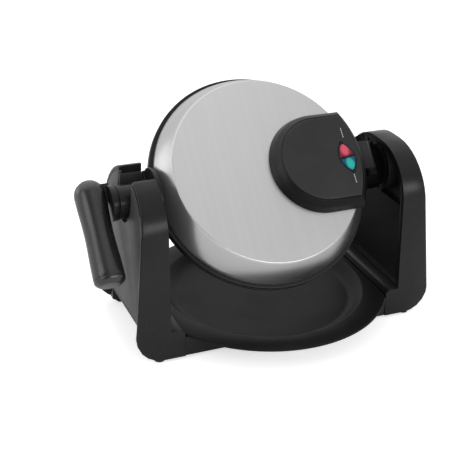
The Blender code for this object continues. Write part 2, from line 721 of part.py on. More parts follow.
def drip_tray():
    """The round tray, cut straight beside the ledges, with a dished middle and a broad crowned rim."""
    skin = TRAY_SKIN
    profile = [
        (0.0, TRAY_FLOOR_Z),
        (TRAY_FLOOR_R, TRAY_FLOOR_Z),
        (TRAY_RIM_R, TRAY_RIM_Z),
        (TRAY_CROWN_R, TRAY_CROWN_Z),
        (TRAY_R, TRAY_RIM_Z),
        (TRAY_R, TRAY_LIP_Z),
        (TRAY_R - skin, TRAY_LIP_Z),
        (TRAY_R - skin, TRAY_RIM_Z - skin),
        (TRAY_CROWN_R, TRAY_CROWN_Z - skin),
        (TRAY_RIM_R + skin / 2, TRAY_RIM_Z - skin),
        (TRAY_FLOOR_R + skin / 2, TRAY_FLOOR_Z - skin),
        (0.0, TRAY_FLOOR_Z - skin),
    ]
    tray = revolved(profile, ROUND_STEPS)
    reach = TRAY_R + OVERRUN
    between_ledges = box((-TRAY_HALF_X, -reach, 0.0), (TRAY_HALF_X, reach, TRAY_RIM_Z + OVERRUN))
    return combined(tray, between_ledges, "INTERSECT")


def shoulder_point(share, skin):
    """A point of the bulged shoulder, (radius, height), from its foot (share 0) to the top's crease (1)."""
    lean = math.atan2(SHELL_R - SHELL_FLAT_R, SHELL_TOP - SHELL_SHOULDER)
    foot = Vector((SHELL_R - skin, SHELL_SHOULDER - skin * math.tan(lean / 2)))
    crease = Vector((SHELL_FLAT_R - skin * math.tan(math.pi / 4 - lean / 2), SHELL_TOP - skin))
    out = Vector((math.cos(lean), math.sin(lean))) * SHELL_BULGE * 4.0 * share * (1.0 - share)
    return tuple(foot.lerp(crease, share) + out)


def shell_profile(skin):
    """The outer (skin 0) or inner line of a steel shell, (radius, height), from its foot to its middle."""
    points = [(SHELL_R - skin, SHELL_FOOT)]
    points += [shoulder_point(step / SHOULDER_STEPS, skin) for step in range(SHOULDER_STEPS + 1)]
    return points + [(0.0, SHELL_TOP - skin)]


def half_shell():
    """The spun steel shell of one half of the head."""
    outer = shell_profile(0.0)
    inner = shell_profile(SHELL_SKIN)
    return revolved(list(reversed(inner)) + outer, ROUND_STEPS)


def half_bezel(flange_x):
    """The plastic ring round one half, with half of the round flange beside the journal."""
    profile = [
        (BEZEL_IN_R, BEZEL_FACE),
        (BEZEL_R, BEZEL_FACE),
        (BEZEL_R, BEZEL_TOP),
        (SHELL_R - SHELL_SKIN - GAP, BEZEL_TOP),
        (SHELL_R - SHELL_SKIN - GAP, BEZEL_WALL_TOP),
        (BEZEL_WALL_IN_R, BEZEL_WALL_TOP),
        (BEZEL_WALL_IN_R, BEZEL_TOP),
        (BEZEL_IN_R, BEZEL_TOP),
    ]
    ring = revolved(profile, ROUND_STEPS)
    half = arc(FLANGE_R, 0.0, math.pi, FLANGE_STEPS)
    start = (FLANGE_R, BEZEL_FACE)
    outline = [start] + [point for point in half if point[1] > BEZEL_FACE] + [(-FLANGE_R, BEZEL_FACE)]
    return joined(ring, prism(outline, "X", flange_x - HEAD_X, FLANGE_IN_X - HEAD_X))


def frustum(centre, root, face, root_h, face_h):
    """A tapered block with a (u, v) centre, as two rings: (u, v) half sizes at its root and at its face."""
    rings = []
    for (half_u, half_v), height in ((root, root_h), (face, face_h)):
        u, v = centre
        corners = [(-half_u, -half_v), (half_u, -half_v), (half_u, half_v), (-half_u, half_v)]
        rings.append([(u + a, v + b, height) for a, b in corners])
    return rings


def stud_centres():
    """The (u, v) centres of the studs in the four quarters of a plate."""
    half_face = STUD_ROOT / 2
    first = DIVIDER_ROOT / 2 + (STUD_PITCH - STUD_ROOT) + half_face
    count = int(STUD_REACH / STUD_PITCH)
    places = [first + STUD_PITCH * step for step in range(count)]
    found = []
    for u in places:
        for v in places:
            if math.hypot(u + half_face, v + half_face) < STUD_REACH:
                found += [(a * u, b * v) for a in (-1, 1) for b in (-1, 1)]
    return found


def stud_field():
    """Every stud of one plate and its cross of dividers, sunk a little into the plate's floor."""
    root_h = PLATE_FLOOR + STUD_SINK
    bm = bmesh.new()
    pieces = []
    for centre in stud_centres():
        half_root, half_face = STUD_ROOT / 2, STUD_FACE / 2
        pieces.append(frustum(centre, (half_root, half_root), (half_face, half_face), root_h, STUD_TOP))
    for rings in pieces:
        loops = [[bm.verts.new(point) for point in ring] for ring in rings]
        for i in range(len(loops[0])):
            j = (i + 1) % len(loops[0])
            bm.faces.new((loops[0][i], loops[0][j], loops[1][j], loops[1][i]))
        bm.faces.new(loops[0])
        bm.faces.new(loops[1])
    return raw_object(bm)


def divider(along_u):
    """One bar of the cross between the four quarters, long enough to meet the cavity's wall."""
    long_root, long_face = PLATE_CAVITY_R, PLATE_CAVITY_R
    wide_root, wide_face = DIVIDER_ROOT / 2, DIVIDER_FACE / 2
    root = (long_root, wide_root) if along_u else (wide_root, long_root)
    face = (long_face, wide_face) if along_u else (wide_face, long_face)
    return lofted(frustum((0.0, 0.0), root, face, PLATE_FLOOR + STUD_SINK, STUD_TOP))


def half_plate():
    """The cast waffle plate of one half: a dished disc, a cross of dividers and a field of studs."""
    profile = [
        (0.0, PLATE_BACK),
        (PLATE_BACK_R, PLATE_BACK),
        (PLATE_STEP_R, PLATE_EDGE_TOP),
        (PLATE_EDGE_R, PLATE_EDGE_TOP),
        (PLATE_EDGE_R, BEZEL_TOP + GAP),
        (PLATE_RIM_R, BEZEL_TOP + GAP),
        (PLATE_RIM_R, PLATE_MEET),
        (PLATE_CAVITY_R, PLATE_MEET),
        (PLATE_FLOOR_R, PLATE_FLOOR),
        (0.0, PLATE_FLOOR),
    ]
    plate = revolved(profile, ROUND_STEPS)
    return joined(plate, divider(True), divider(False), stud_field())


def heater():
    """The bent heating tube behind a plate, open where its two ends stand apart."""
    bm = bmesh.new()
    tube = circle(HEATER_TUBE_R, HEATER_TUBE_STEPS, (HEATER_R, PLATE_BACK + GAP + HEATER_TUBE_R))
    start = (math.tau - HEATER_SWEEP) / 2
    ring = [bm.verts.new((r * math.cos(start), r * math.sin(start), h)) for r, h in tube]
    first = bm.faces.new(ring)
    bmesh.ops.spin(
        bm, geom=[first], cent=ORIGIN, axis=(0.0, 0.0, 1.0), angle=HEATER_SWEEP, steps=HEATER_STEPS
    )
    return raw_object(bm)


def thermostat():
    """The disc thermostat in the middle of a plate's back."""
    low = PLATE_BACK + GAP
    return prism(circle(THERMOSTAT_R, SMALL_STEPS), "Z", low, low + THERMOSTAT_HIGH)


def console_outline(inset):
    """The D of the console, (u, v): a half circle, straight sides and an edge concentric with the shell."""
    radius = CONSOLE_ROUND_R - inset
    end = arc(radius, math.pi / 2, math.pi, CONSOLE_END_STEPS, (CONSOLE_ROUND_U, 0.0))
    half = math.asin(radius / (CONSOLE_EDGE_R - inset))
    return end + arc(CONSOLE_EDGE_R - inset, -half, half * 2, CONSOLE_EDGE_STEPS)


def console_ring(inset, height):
    """One level of the console, as points in space."""
    return [(u, v, height) for u, v in console_outline(inset)]


def console_cover():
    """The D-shaped plastic cover of one half, with a seat for its panel."""
    levels = (
        (0.0, CONSOLE_FOOT),
        (CONSOLE_KNEE_INSET, CONSOLE_KNEE),
        (CONSOLE_TOP_INSET, CONSOLE_TOP),
        (CONSOLE_SEAT_INSET, CONSOLE_TOP),
        (CONSOLE_SEAT_INSET, CONSOLE_SEAT),
    )
    return lofted([console_ring(inset, height) for inset, height in levels])


def console_panel():
    """The flat panel on top of a cover, with a low bevel round it."""
    inset = CONSOLE_SEAT_INSET + GAP
    levels = [(inset, CONSOLE_SEAT + GAP), (inset, CONSOLE_TOP)]
    levels.append((inset + CONSOLE_PANEL_BEVEL, CONSOLE_PANEL_TOP))
    return lofted([console_ring(level, height) for level, height in levels])


def lens_outline(grow, low_share, high_share):
    """Part of the almond of the lights, (u, v), between two shares of its length."""
    points = []
    for side in (1, -1):
        for step in range(LENS_STEPS + 1):
            share = low_share + (high_share - low_share) * step / LENS_STEPS
            if side < 0:
                share = low_share + high_share - share
            wide = (LENS_HALF_WIDE + grow) * (1.0 - share * share)
            points.append((side * wide, (LENS_HALF_LONG + grow * 2) * share))
    cos, sin = math.cos(LENS_TILT), math.sin(LENS_TILT)
    return [(LENS_U + a * cos - b * sin, LENS_V + a * sin + b * cos) for a, b in points]


def lens(low_share, high_share):
    """One light of the pair."""
    outline = lens_outline(-LENS_FRAME, low_share + LENS_EASE_SHARE, high_share - LENS_EASE_SHARE)
    return prism(outline, "Z", LENS_SEAT + GAP, LENS_TOP)


def lens_frame():
    """The dark frame round the two lights, with a bar between them."""
    frame = prism(lens_outline(0.0, -1.0, 1.0), "Z", LENS_SEAT, CONSOLE_PANEL_TOP + GAP)
    for low_share, high_share in LENS_SHARES:
        cut(frame, prism(lens_outline(GAP - LENS_FRAME, low_share, high_share), "Z", 0.0, LENS_TOP + OVERRUN))
    return frame


def knuckle():
    """The lid's knuckle and the web that joins it to the console, clear of the steel shoulder."""
    top = math.pi / 2
    barrel = arc(KNUCKLE_R, top, -KNUCKLE_SWEEP, SMALL_STEPS // 2, (HINGE_U, HINGE_H))
    web_start = CONSOLE_EDGE_R - WEB_IN
    outline = [(web_start, CONSOLE_FOOT), (web_start, HINGE_H + KNUCKLE_R)] + barrel
    for share in WEB_SHARES:
        radius, height = shoulder_point(share, 0.0)
        outline.append((radius + WEB_CLEAR, height))
    return prism(outline, "Y", -KNUCKLE_HALF, KNUCKLE_HALF)


def pin_bore():
    """The cutter for the hinge pin, blind at its front end."""
    bore = circle(HINGE_PIN_R + GAP, PIN_STEPS, (HINGE_U, HINGE_H))
    return prism(bore, "Y", EAR_SKIN - EAR_OUT, OVERRUN * 2)


def console_housing():
    """The console of the lid, moulded with the knuckle that carries the lid."""
    frame_hole = prism(lens_outline(GAP, -1.0, 1.0), "Z", LENS_SEAT - GAP, LENS_TOP + OVERRUN)
    housing = joined(console_cover(), knuckle())
    return cut(housing, pin_bore(), frame_hole)


def console_top():
    """The panel of the lid's console, cut out round the lights."""
    hole = prism(lens_outline(GAP, -1.0, 1.0), "Z", 0.0, LENS_TOP + OVERRUN)
    return cut(console_panel(), hole)


def yoke():
    """The casting between the lower half and the hub: a saddle, a neck and the two ears of the hinge."""
    under = -(BEZEL_TOP + GAP)
    neck = [
        (SADDLE_U, SADDLE_LOW),
        (NECK_END, NECK_LOW),
        (NECK_END, NECK_TOP),
        (NECK_U, NECK_TOP),
        (NECK_U, under),
        (SADDLE_U, under),
    ]
    body = prism(neck, "Y", -EAR_OUT, EAR_OUT)
    crown = arc(KNUCKLE_R, math.pi, -math.pi, SMALL_STEPS // 2, (HINGE_U, HINGE_H))
    ear = [(NECK_U, NECK_LOW / 2), (NECK_U, NECK_TOP)] + crown + [(NECK_U + EAR_OUT / 2, NECK_LOW / 2)]
    for low, high in ((-EAR_OUT, -EAR_IN), (EAR_IN, EAR_OUT)):
        joined(body, prism(ear, "Y", low, high))
    return cut(body, pin_bore())


def hinge_pin():
    """The steel pin of the lid hinge."""
    pin = circle(HINGE_PIN_R, PIN_STEPS, (HINGE_U, HINGE_H))
    return prism(pin, "Y", EAR_SKIN + GAP - EAR_OUT, EAR_OUT - HINGE_PIN_SINK)


def hub_shaft():
    """The hub that turns in the right upright, with a stub for its retainer."""
    profile = [
        (0.0, HUB_START),
        (HUB_R, HUB_START),
        (HUB_R, HUB_END),
        (HUB_STUB_R, HUB_END),
        (HUB_STUB_R, HUB_STUB_END),
        (0.0, HUB_STUB_END),
    ]
    return revolved(profile, ROUND_STEPS // 2, (1.0, 0.0, 0.0))


def hub_retainer():
    """The ring that keeps the hub in its bearing."""
    bore = HUB_STUB_R + GAP
    profile = [(bore, RETAINER_START), (RETAINER_R, RETAINER_START)]
    profile += [(RETAINER_R, RETAINER_END), (bore, RETAINER_END)]
    return revolved(profile, ROUND_STEPS // 2, (1.0, 0.0, 0.0))


def journal():
    """The hollow journal that rests in the notch of the left upright."""
    start, end = JOURNAL_START - HEAD_X, JOURNAL_END - HEAD_X
    floor = start - STAND_WALL
    bore = JOURNAL_R - STAND_WALL
    profile = [(0.0, start), (JOURNAL_R, start), (JOURNAL_R, end), (bore, end), (bore, floor), (0.0, floor)]
    return revolved(profile, ROUND_STEPS // 2, (1.0, 0.0, 0.0))


def bracket():
    """The end plate of the journal, with the tongue that carries the grip."""
    start, end = BRACKET_START - HEAD_X, BRACKET_END - HEAD_X
    plug_r = JOURNAL_R - STAND_WALL - GAP
    plug_end = start + STAND_WALL * 2
    profile = [(0.0, plug_end), (plug_r, plug_end), (plug_r, start)]
    profile += [(BRACKET_R, start), (BRACKET_R, end), (0.0, end)]
    plate = revolved(profile, SMALL_STEPS, (1.0, 0.0, 0.0))
    fold = (FOLD_X - HEAD_X, FOLD_V)
    round_end = arc(TONGUE_R, math.pi / 2, math.pi, SMALL_STEPS // 2, fold)
    root = (start + end) / 2
    outline = round_end + [(root, FOLD_V - TONGUE_R), (root, FOLD_V + TONGUE_R)]
    tongue = prism(outline, "Z", -TONGUE_HALF, TONGUE_HALF)
    hole = prism(circle(FOLD_PIN_R + GAP, PIN_STEPS, fold), "Z", -OVERRUN, OVERRUN)
    return cut(joined(plate, tongue), hole)


def grip_profile():
    """The grip's side, (radius, distance from the fold pin): a dome, a waist and a fuller end."""
    dome = [(r, -h) for h, r in arc(GRIP_R, 0.0, math.pi / 2, GRIP_DOME_STEPS)]
    dome[0] = (0.0, -GRIP_R)
    rest = []
    for start, end in ((0.0, GRIP_WAIST), (GRIP_FULL, GRIP_WAIST)):
        side = []
        for step in range(1, GRIP_WAIST_STEPS + 1):
            share = step / GRIP_WAIST_STEPS
            ease = (1.0 - math.cos(math.pi * share)) / 2
            side.append((GRIP_R + (GRIP_WAIST_R - GRIP_R) * ease, start + (end - start) * share))
        rest += side if end > start else list(reversed(side))[1:]
    return dome + rest + [(GRIP_R, GRIP_FULL), (GRIP_R, GRIP_END), (0.0, GRIP_END)]


def laid_forward(body):
    """Turns a body made about X, so that it points to the front from the fold pin."""
    for vertex in body.data.vertices:
        x, y, z = vertex.co
        vertex.co = (FOLD_X - HEAD_X + y, FOLD_V - x, z)
    return body


def grip():
    """The folding grip, slotted for the tongue on the sides that meet it between its two positions."""
    body = laid_forward(revolved(grip_profile(), GRIP_STEPS, (1.0, 0.0, 0.0)))
    u, v = FOLD_X - HEAD_X, FOLD_V
    reach = TONGUE_R + SLOT_CLEAR
    half = TONGUE_HALF + GAP
    slot = box((u - reach, v - reach, -half), (u + OVERRUN, v + OVERRUN, half))
    hole = prism(circle(FOLD_PIN_R + GAP, PIN_STEPS, (u, v)), "Z", -OVERRUN, FOLD_PIN_HIGH + GAP)
    return cut(body, slot, hole)


def grip_cap():
    """The cap on the grip's far end."""
    start = GRIP_END + GAP
    profile = [(0.0, start), (GRIP_R, start), (GRIP_R, start + STAND_WALL)]
    profile += [(CAP_END_R, CAP_END), (0.0, CAP_END)]
    return laid_forward(revolved(profile, GRIP_STEPS, (1.0, 0.0, 0.0)))


def fold_pin():
    """The pin that the grip folds about."""
    pin = circle(FOLD_PIN_R, PIN_STEPS, (FOLD_X - HEAD_X, FOLD_V))
    return prism(pin, "Z", FOLD_PIN_LOW, FOLD_PIN_HIGH)


def build_stand(stand):
    """The pieces that never move."""
    finished(upright(True), "left_upright", BLACK_PLASTIC, stand)
    finished(side_cover(True), "left_side_cover", SIDE_PLASTIC, stand)
    finished(upright(False), "right_upright", BLACK_PLASTIC, stand)
    finished(side_cover(False), "right_side_cover", SIDE_PLASTIC, stand)
    for side_y, place in ((-1, "front"), (1, "rear")):
        finished(crossbar(side_y), f"{place}_crossbar", BLACK_PLASTIC, stand)
        for side_x, end in ((-1, "left"), (1, "right")):
            finished(foot_pad(side_x, side_y), f"foot_pad_{place}_{end}", RUBBER, stand)
            finished(crossbar_screw(side_x, side_y), f"crossbar_screw_{place}_{end}", BRIGHT_STEEL, stand)
    finished(cradle_liner(), "cradle_liner", BEARING_PLASTIC, stand)
    finished(hub_bearing(), "hub_bearing", BEARING_PLASTIC, stand)
    finished(cord_gland(), "cord_gland", RUBBER, stand)


def build_lower_half(head):
    """The half of the head that stays on the axis, with its journal and hub."""
    finished(flipped(half_shell()), "lower_shell", STEEL, head)
    finished(flipped(half_bezel(BODY_FLANGE_X)), "lower_bezel", BLACK_PLASTIC, head)
    finished(flipped(half_plate()), "lower_waffle_plate", COATED_ALUMINIUM, head)
    finished(flipped(heater()), "lower_heater", HEATER_METAL, head)
    finished(flipped(thermostat()), "lower_thermostat", CERAMIC, head)
    finished(flipped(console_cover()), "lower_cover", BLACK_PLASTIC, head)
    finished(flipped(console_panel()), "lower_panel", BLACK_PLASTIC, head)
    finished(yoke(), "hinge_yoke", BLACK_PLASTIC, head)
    finished(hinge_pin(), "hinge_pin", BRIGHT_STEEL, head)
    finished(hub_shaft(), "hub_shaft", BLACK_PLASTIC, head)
    finished(hub_retainer(), "hub_retainer", BRIGHT_STEEL, head)
    finished(journal(), "journal", BLACK_PLASTIC, head)
    finished(bracket(), "grip_bracket", BLACK_PLASTIC, head)


def build_lid(lid):
    """The half of the head that opens."""
    finished(half_shell(), "lid_shell", STEEL, lid)
    finished(half_bezel(LID_FLANGE_X), "lid_bezel", BLACK_PLASTIC, lid)
    finished(half_plate(), "lid_waffle_plate", COATED_ALUMINIUM, lid)
    finished(heater(), "lid_heater", HEATER_METAL, lid)
    finished(thermostat(), "lid_thermostat", CERAMIC, lid)
    finished(console_housing(), "console_housing", BLACK_PLASTIC, lid)
    finished(console_top(), "console_panel", BLACK_PLASTIC, lid)
    finished(lens_frame(), "lens_frame", LENS_BLACK, lid)
    for (low_share, high_share), name, finish in zip(
        LENS_SHARES, ("green_light", "red_light"), (GREEN_LENS, RED_LENS)
    ):
        finished(lens(low_share, high_share), name, finish, lid)


def build_grip(fold):
    """The pieces that fold."""
    finished(grip(), "grip", GRIP_PLASTIC, fold)
    finished(grip_cap(), "grip_cap", GRIP_PLASTIC, fold)
    finished(fold_pin(), "fold_pin", BRIGHT_STEEL, fold)


def build():
    """Builds the whole waffle maker with the head tilted, as it stands in use."""
    clear_scene()
    left_end = FOLD_X - GRIP_R
    right_end = outer_x(PAD_REST + CORNER_R)
    stand = frame_empty("stand", (-(left_end + right_end) / 2, 0.0, 0.0))
    head = frame_empty("head_axis", (HEAD_X, 0.0, AXIS_Z), stand, HEAD_TILT)
    lid = joint_empty("lid_hinge", (HINGE_U, 0.0, HINGE_H), head)
    fold = joint_empty("grip_fold", (FOLD_X - HEAD_X, FOLD_V, 0.0), head)
    build_stand(stand)
    finished(drip_tray(), "drip_tray", TRAY_PLASTIC, stand)
    build_lower_half(head)
    build_lid(lid)
    build_grip(fold)


build()
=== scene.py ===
"""The looks of a flip waffle maker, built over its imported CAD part.

Sizes are in millimetres until a piece is placed. The stand's frame has its origin between the two uprights,
on the worktop. The head's frame (u, v, h) lies on the turning axis and is tilted to the front.
"""

import logging
import math
from dataclasses import dataclass
from enum import Enum
from functools import cache
from typing import Callable, Optional, Sequence

import bmesh
import bpy
from mathutils import Matrix, Vector


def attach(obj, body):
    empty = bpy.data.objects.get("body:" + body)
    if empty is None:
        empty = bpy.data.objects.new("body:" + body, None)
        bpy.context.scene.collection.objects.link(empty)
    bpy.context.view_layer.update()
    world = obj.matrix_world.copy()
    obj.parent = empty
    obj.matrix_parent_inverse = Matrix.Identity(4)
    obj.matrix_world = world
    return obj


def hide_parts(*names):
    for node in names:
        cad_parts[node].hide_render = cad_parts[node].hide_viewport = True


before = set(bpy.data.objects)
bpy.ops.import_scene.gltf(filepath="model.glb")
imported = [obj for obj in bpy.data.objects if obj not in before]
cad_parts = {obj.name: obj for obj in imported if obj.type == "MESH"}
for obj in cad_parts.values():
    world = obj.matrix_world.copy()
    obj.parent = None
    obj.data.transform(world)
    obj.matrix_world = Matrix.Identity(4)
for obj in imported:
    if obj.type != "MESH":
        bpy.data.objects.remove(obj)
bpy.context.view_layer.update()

LOG = logging.getLogger("waffle_maker")
MILLIMETRE = 0.001
DOUBLES = 0.002
CUT_WIDTH = 0.001
FLAT_ANGLE = math.radians(0.6)
ROUND_STEPS = 5
SMALL_TURN = 32
MIDDLE_TURN = 48
LARGE_TURN = 64
STAND_SHIFT = 17.3477
HEAD_PLACE = (-9.3, 0.0, 140.0)
HEAD_TILT = math.radians(45.0)
STAND = Matrix.Scale(MILLIMETRE, 4) @ Matrix.Translation((STAND_SHIFT, 0.0, 0.0))
HEAD = STAND @ Matrix.Translation(HEAD_PLACE) @ Matrix.Rotation(HEAD_TILT, 4, "X")

Pair = tuple[float, float]
Triple = tuple[float, float, float]
Rounds = dict[int, float]
Test = Callable[[Vector], bool]


class Axis(Enum):
    """The three directions that a shape can be spun about or drawn along."""

    X = 0
    Y = 1
    Z = 2


class Side(Enum):
    """The two ends of the stand."""

    LEFT = -1
    RIGHT = 1


class End(Enum):
    """The front and the rear of the stand."""

    FRONT = -1
    REAR = 1


class Half(Enum):
    """The two halves of the head."""

    LOWER = -1
    LID = 1


# Shapes


def on_axis(axis: Axis, across: float, along: float) -> Vector:
    """A point of a profile that is spun about an axis.

    Args:
        axis: The axis of the spin.
        across: Distance from the axis.
        along: Distance along the axis.

    Returns:
        The point in space.
    """
    point = [0.0, 0.0, 0.0]
    point[axis.value] = along
    point[(axis.value + 1) % 3] = across
    return Vector(point)


def in_plane(axis: Axis, first: float, second: float, along: float) -> Vector:
    """A point of an outline that is drawn along an axis.

    Args:
        axis: The direction of the drawing.
        first: The outline's first coordinate, (y, z), (x, z) or (x, y) for X, Y and Z.
        second: The outline's second coordinate.
        along: Distance along the axis.

    Returns:
        The point in space.
    """
    point = [first, second]
    point.insert(axis.value, along)
    return Vector(point)


def arc(radius: float, start: float, sweep: float, steps: int, centre: Pair = (0.0, 0.0)) -> list[Pair]:
    """Points along an arc, both ends included.

    Args:
        radius: The arc's radius.
        start: Its first angle in degrees.
        sweep: How far it goes round, in degrees.
        steps: How many parts it has.
        centre: Its centre.

    Returns:
        The points in order.
    """
    angles = [math.radians(start + sweep * step / steps) for step in range(steps + 1)]
    return [(centre[0] + radius * math.cos(a), centre[1] + radius * math.sin(a)) for a in angles]


def rounded(line: Sequence[Pair], rounds: Rounds) -> list[Pair]:
    """An open line with some of its corners rounded.

    Args:
        line: The line's corners.
        rounds: How far the rounding of a corner reaches, by the corner's place in the line.

    Returns:
        The line's points.
    """
    points = []
    for index, corner in enumerate(line):
        reach = rounds.get(index, 0.0)
        if reach <= 0.0:
            points.append(corner)
            continue
        middle = Vector(corner)
        before = middle + (Vector(line[index - 1]) - middle).normalized() * reach
        after = middle + (Vector(line[index + 1]) - middle).normalized() * reach
        for step in range(ROUND_STEPS + 1):
            share = step / ROUND_STEPS
            point = before.lerp(middle, share).lerp(middle.lerp(after, share), share)
            points.append((point.x, point.y))
    return points


def sleeve(bore: float, radius: float, ends: Pair) -> list[Pair]:
    """The profile of a plain ring, or of a disc or a pin where it has no bore.

    Args:
        bore: Its inner radius.
        radius: Its outer radius.
        ends: Where it starts and ends along its axis.

    Returns:
        (radius, height) pairs.
    """
    return [(bore, ends[0]), (radius, ends[0]), (radius, ends[1]), (bore, ends[1])]


class Solid:
    """A mesh under construction, in millimetres of its own frame."""

    def __init__(self) -> None:
        """Starts with nothing."""
        self.bm = bmesh.new()

    @classmethod
    def of_node(cls, node: str, place: Matrix) -> "Solid":
        """A merged copy of a CAD node's mesh, with its flat faces in one piece.

        Args:
            node: The node's name.
            place: The frame that the copy is worked on in.

        Returns:
            The copy.
        """
        made = cls()
        made.bm.from_mesh(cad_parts[node].data)
        bmesh.ops.transform(made.bm, matrix=place.inverted(), verts=made.bm.verts)
        bmesh.ops.remove_doubles(made.bm, verts=made.bm.verts, dist=DOUBLES)
        bmesh.ops.dissolve_limit(made.bm, angle_limit=FLAT_ANGLE, verts=made.bm.verts, edges=made.bm.edges)
        return made

    @classmethod
    def spun(
        cls,
        profile: Sequence[Pair],
        steps: int,
        axis: Axis = Axis.Z,
        rounds: Optional[Rounds] = None,
    ) -> "Solid":
        """A solid of revolution.

        Args:
            profile: (radius, height) pairs, closed or from axis to axis.
            steps: How many parts the turn has.
            axis: What it turns about.
            rounds: How far the rounding of a corner reaches, by the corner's place in the profile.

        Returns:
            The solid.
        """
        made = cls()
        verts = [made.bm.verts.new(on_axis(axis, r, h)) for r, h in profile]
        for pair in zip(verts, verts[1:]):
            made.bm.edges.new(pair)
        if profile[0][0] > 0.0 or profile[-1][0] > 0.0:
            made.bm.edges.new((verts[-1], verts[0]))
        made.round_corners(verts, rounds)
        bmesh.ops.spin(
            made.bm,
            geom=list(made.bm.verts) + list(made.bm.edges),
            cent=(0.0, 0.0, 0.0),
            axis=in_plane(axis, 0.0, 0.0, 1.0),
            angle=math.tau,
            steps=steps,
            use_merge=True,
        )
        return made.tidied()

    @classmethod
    def drawn(
        cls,
        outline: Sequence[Pair],
        axis: Axis,
        low: float,
        high: float,
        rounds: Optional[Rounds] = None,
        holes: Sequence[Sequence[Pair]] = (),
    ) -> "Solid":
        """A straight solid over a flat outline.

        Args:
            outline: The outline's corners.
            axis: What it is drawn along.
            low: Where it starts.
            high: Where it ends.
            rounds: How far the rounding of a corner reaches, by the corner's place in the outline.
            holes: Outlines of holes right through.

        Returns:
            The solid.
        """
        made = cls()
        verts = [made.bm.verts.new(in_plane(axis, a, b, low)) for a, b in outline]
        if holes:
            loops = [verts] + [[made.bm.verts.new(in_plane(axis, a, b, low)) for a, b in h] for h in holes]
            edges = [made.bm.edges.new((loop[i - 1], loop[i])) for loop in loops for i in range(len(loop))]
            bmesh.ops.triangle_fill(made.bm, edges=edges, use_beauty=True)
        else:
            made.bm.faces.new(verts)
            made.round_corners(verts, rounds)
        moved = bmesh.ops.extrude_face_region(made.bm, geom=list(made.bm.faces))["geom"]
        corners = [item for item in moved if isinstance(item, bmesh.types.BMVert)]
        shift = in_plane(axis, 0.0, 0.0, high) - in_plane(axis, 0.0, 0.0, low)
        bmesh.ops.translate(made.bm, verts=corners, vec=shift)
        return made.tidied()

    @classmethod
    def layered(
        cls, outline: Callable[[float], list[Pair]], levels: Sequence[Pair], hole: Sequence[Pair] = ()
    ) -> "Solid":
        """A solid through levels of one outline, each drawn in by its own inset.

        Args:
            outline: Gives the outline, (u, v), for an inset.
            levels: (inset, height) pairs from the lowest level up.
            hole: The outline of a hole right through, if there is one.

        Returns:
            The solid.
        """
        made = cls()
        loops = [made.loop(outline(inset), height) for inset, height in levels]
        holes = [made.loop(hole, levels[end][1]) for end in (0, -1)] if hole else []
        for lower, upper in zip(loops, loops[1:]):
            bmesh.ops.bridge_loops(made.bm, edges=lower + upper)
        if hole:
            bmesh.ops.bridge_loops(made.bm, edges=holes[0] + holes[1])
        for end in (0, -1):
            edges = loops[end] + (holes[end] if hole else [])
            bmesh.ops.triangle_fill(made.bm, edges=edges, use_beauty=True)
        return made.tidied()

    def loop(self, outline: Sequence[Pair], height: float) -> list[bmesh.types.BMEdge]:
        """A closed loop of edges over an outline, at one height."""
        verts = [self.bm.verts.new((a, b, height)) for a, b in outline]
        return [self.bm.edges.new((verts[i - 1], verts[i])) for i in range(len(verts))]

    def round_corners(self, verts: Sequence[bmesh.types.BMVert], rounds: Optional[Rounds]) -> None:
        """Rounds the named corners of a profile or outline.

        Args:
            verts: The corners in order.
            rounds: How far each rounding reaches, by the corner's place.
        """
        for index, reach in (rounds or {}).items():
            bmesh.ops.bevel(
                self.bm,
                geom=[verts[index]],
                offset=reach,
                offset_type="OFFSET",
                segments=ROUND_STEPS,
                profile=0.5,
                affect="VERTICES",
                material=-1,
            )

    def tidied(self) -> "Solid":
        """Merges doubles and turns every face outwards.

        Returns:
            This solid.
        """
        bmesh.ops.remove_doubles(self.bm, verts=self.bm.verts, dist=DOUBLES)
        bmesh.ops.recalc_face_normals(self.bm, faces=self.bm.faces)
        return self

    def plus(self, *others: "Solid") -> "Solid":
        """Takes other solids into this one's mesh.

        Args:
            others: The solids, which are used up.

        Returns:
            This solid.
        """
        for other in others:
            carrier = bpy.data.meshes.new("carrier")
            other.bm.to_mesh(carrier)
            self.bm.from_mesh(carrier)
            bpy.data.meshes.remove(carrier)
            other.bm.free()
        return self

    def moved(self, *shift: float) -> "Solid":
        """Shifts the whole solid by three lengths."""
        bmesh.ops.translate(self.bm, verts=self.bm.verts, vec=Vector(shift))
        return self

    def mirrored(self, axis: Axis, wanted: bool = True) -> "Solid":
        """Mirrors the whole solid through its frame's origin.

        Args:
            axis: The direction that is turned round.
            wanted: Whether to do it at all.

        Returns:
            This solid.
        """
        if wanted:
            factors = [-1.0 if item == axis else 1.0 for item in Axis]
            bmesh.ops.scale(self.bm, vec=Vector(factors), verts=self.bm.verts)
            bmesh.ops.recalc_face_normals(self.bm, faces=self.bm.faces)
        return self

    def bevelled(
        self,
        reach: float,
        segments: int = 3,
        angle: float = 40.0,
        where: Optional[Test] = None,
        clamp: bool = True,
    ) -> "Solid":
        """Rounds sharp edges.

        Args:
            reach: How far the rounding reaches from an edge.
            segments: How many facets it has.
            angle: The least angle in degrees between an edge's faces.
            where: What both ends of an edge have to pass, if anything.
            clamp: Whether the reach is held back where edges crowd.

        Returns:
            This solid.
        """
        chosen = []
        for edge in self.bm.edges:
            if len(edge.link_faces) != 2 or edge.calc_face_angle(0.0) < math.radians(angle):
                continue
            if where is None or all(where(vertex.co) for vertex in edge.verts):
                chosen.append(edge)
        bmesh.ops.bevel(
            self.bm,
            geom=chosen,
            offset=reach,
            offset_type="OFFSET",
            segments=segments,
            profile=0.5,
            affect="EDGES",
            clamp_overlap=clamp,
            material=-1,
        )
        return self

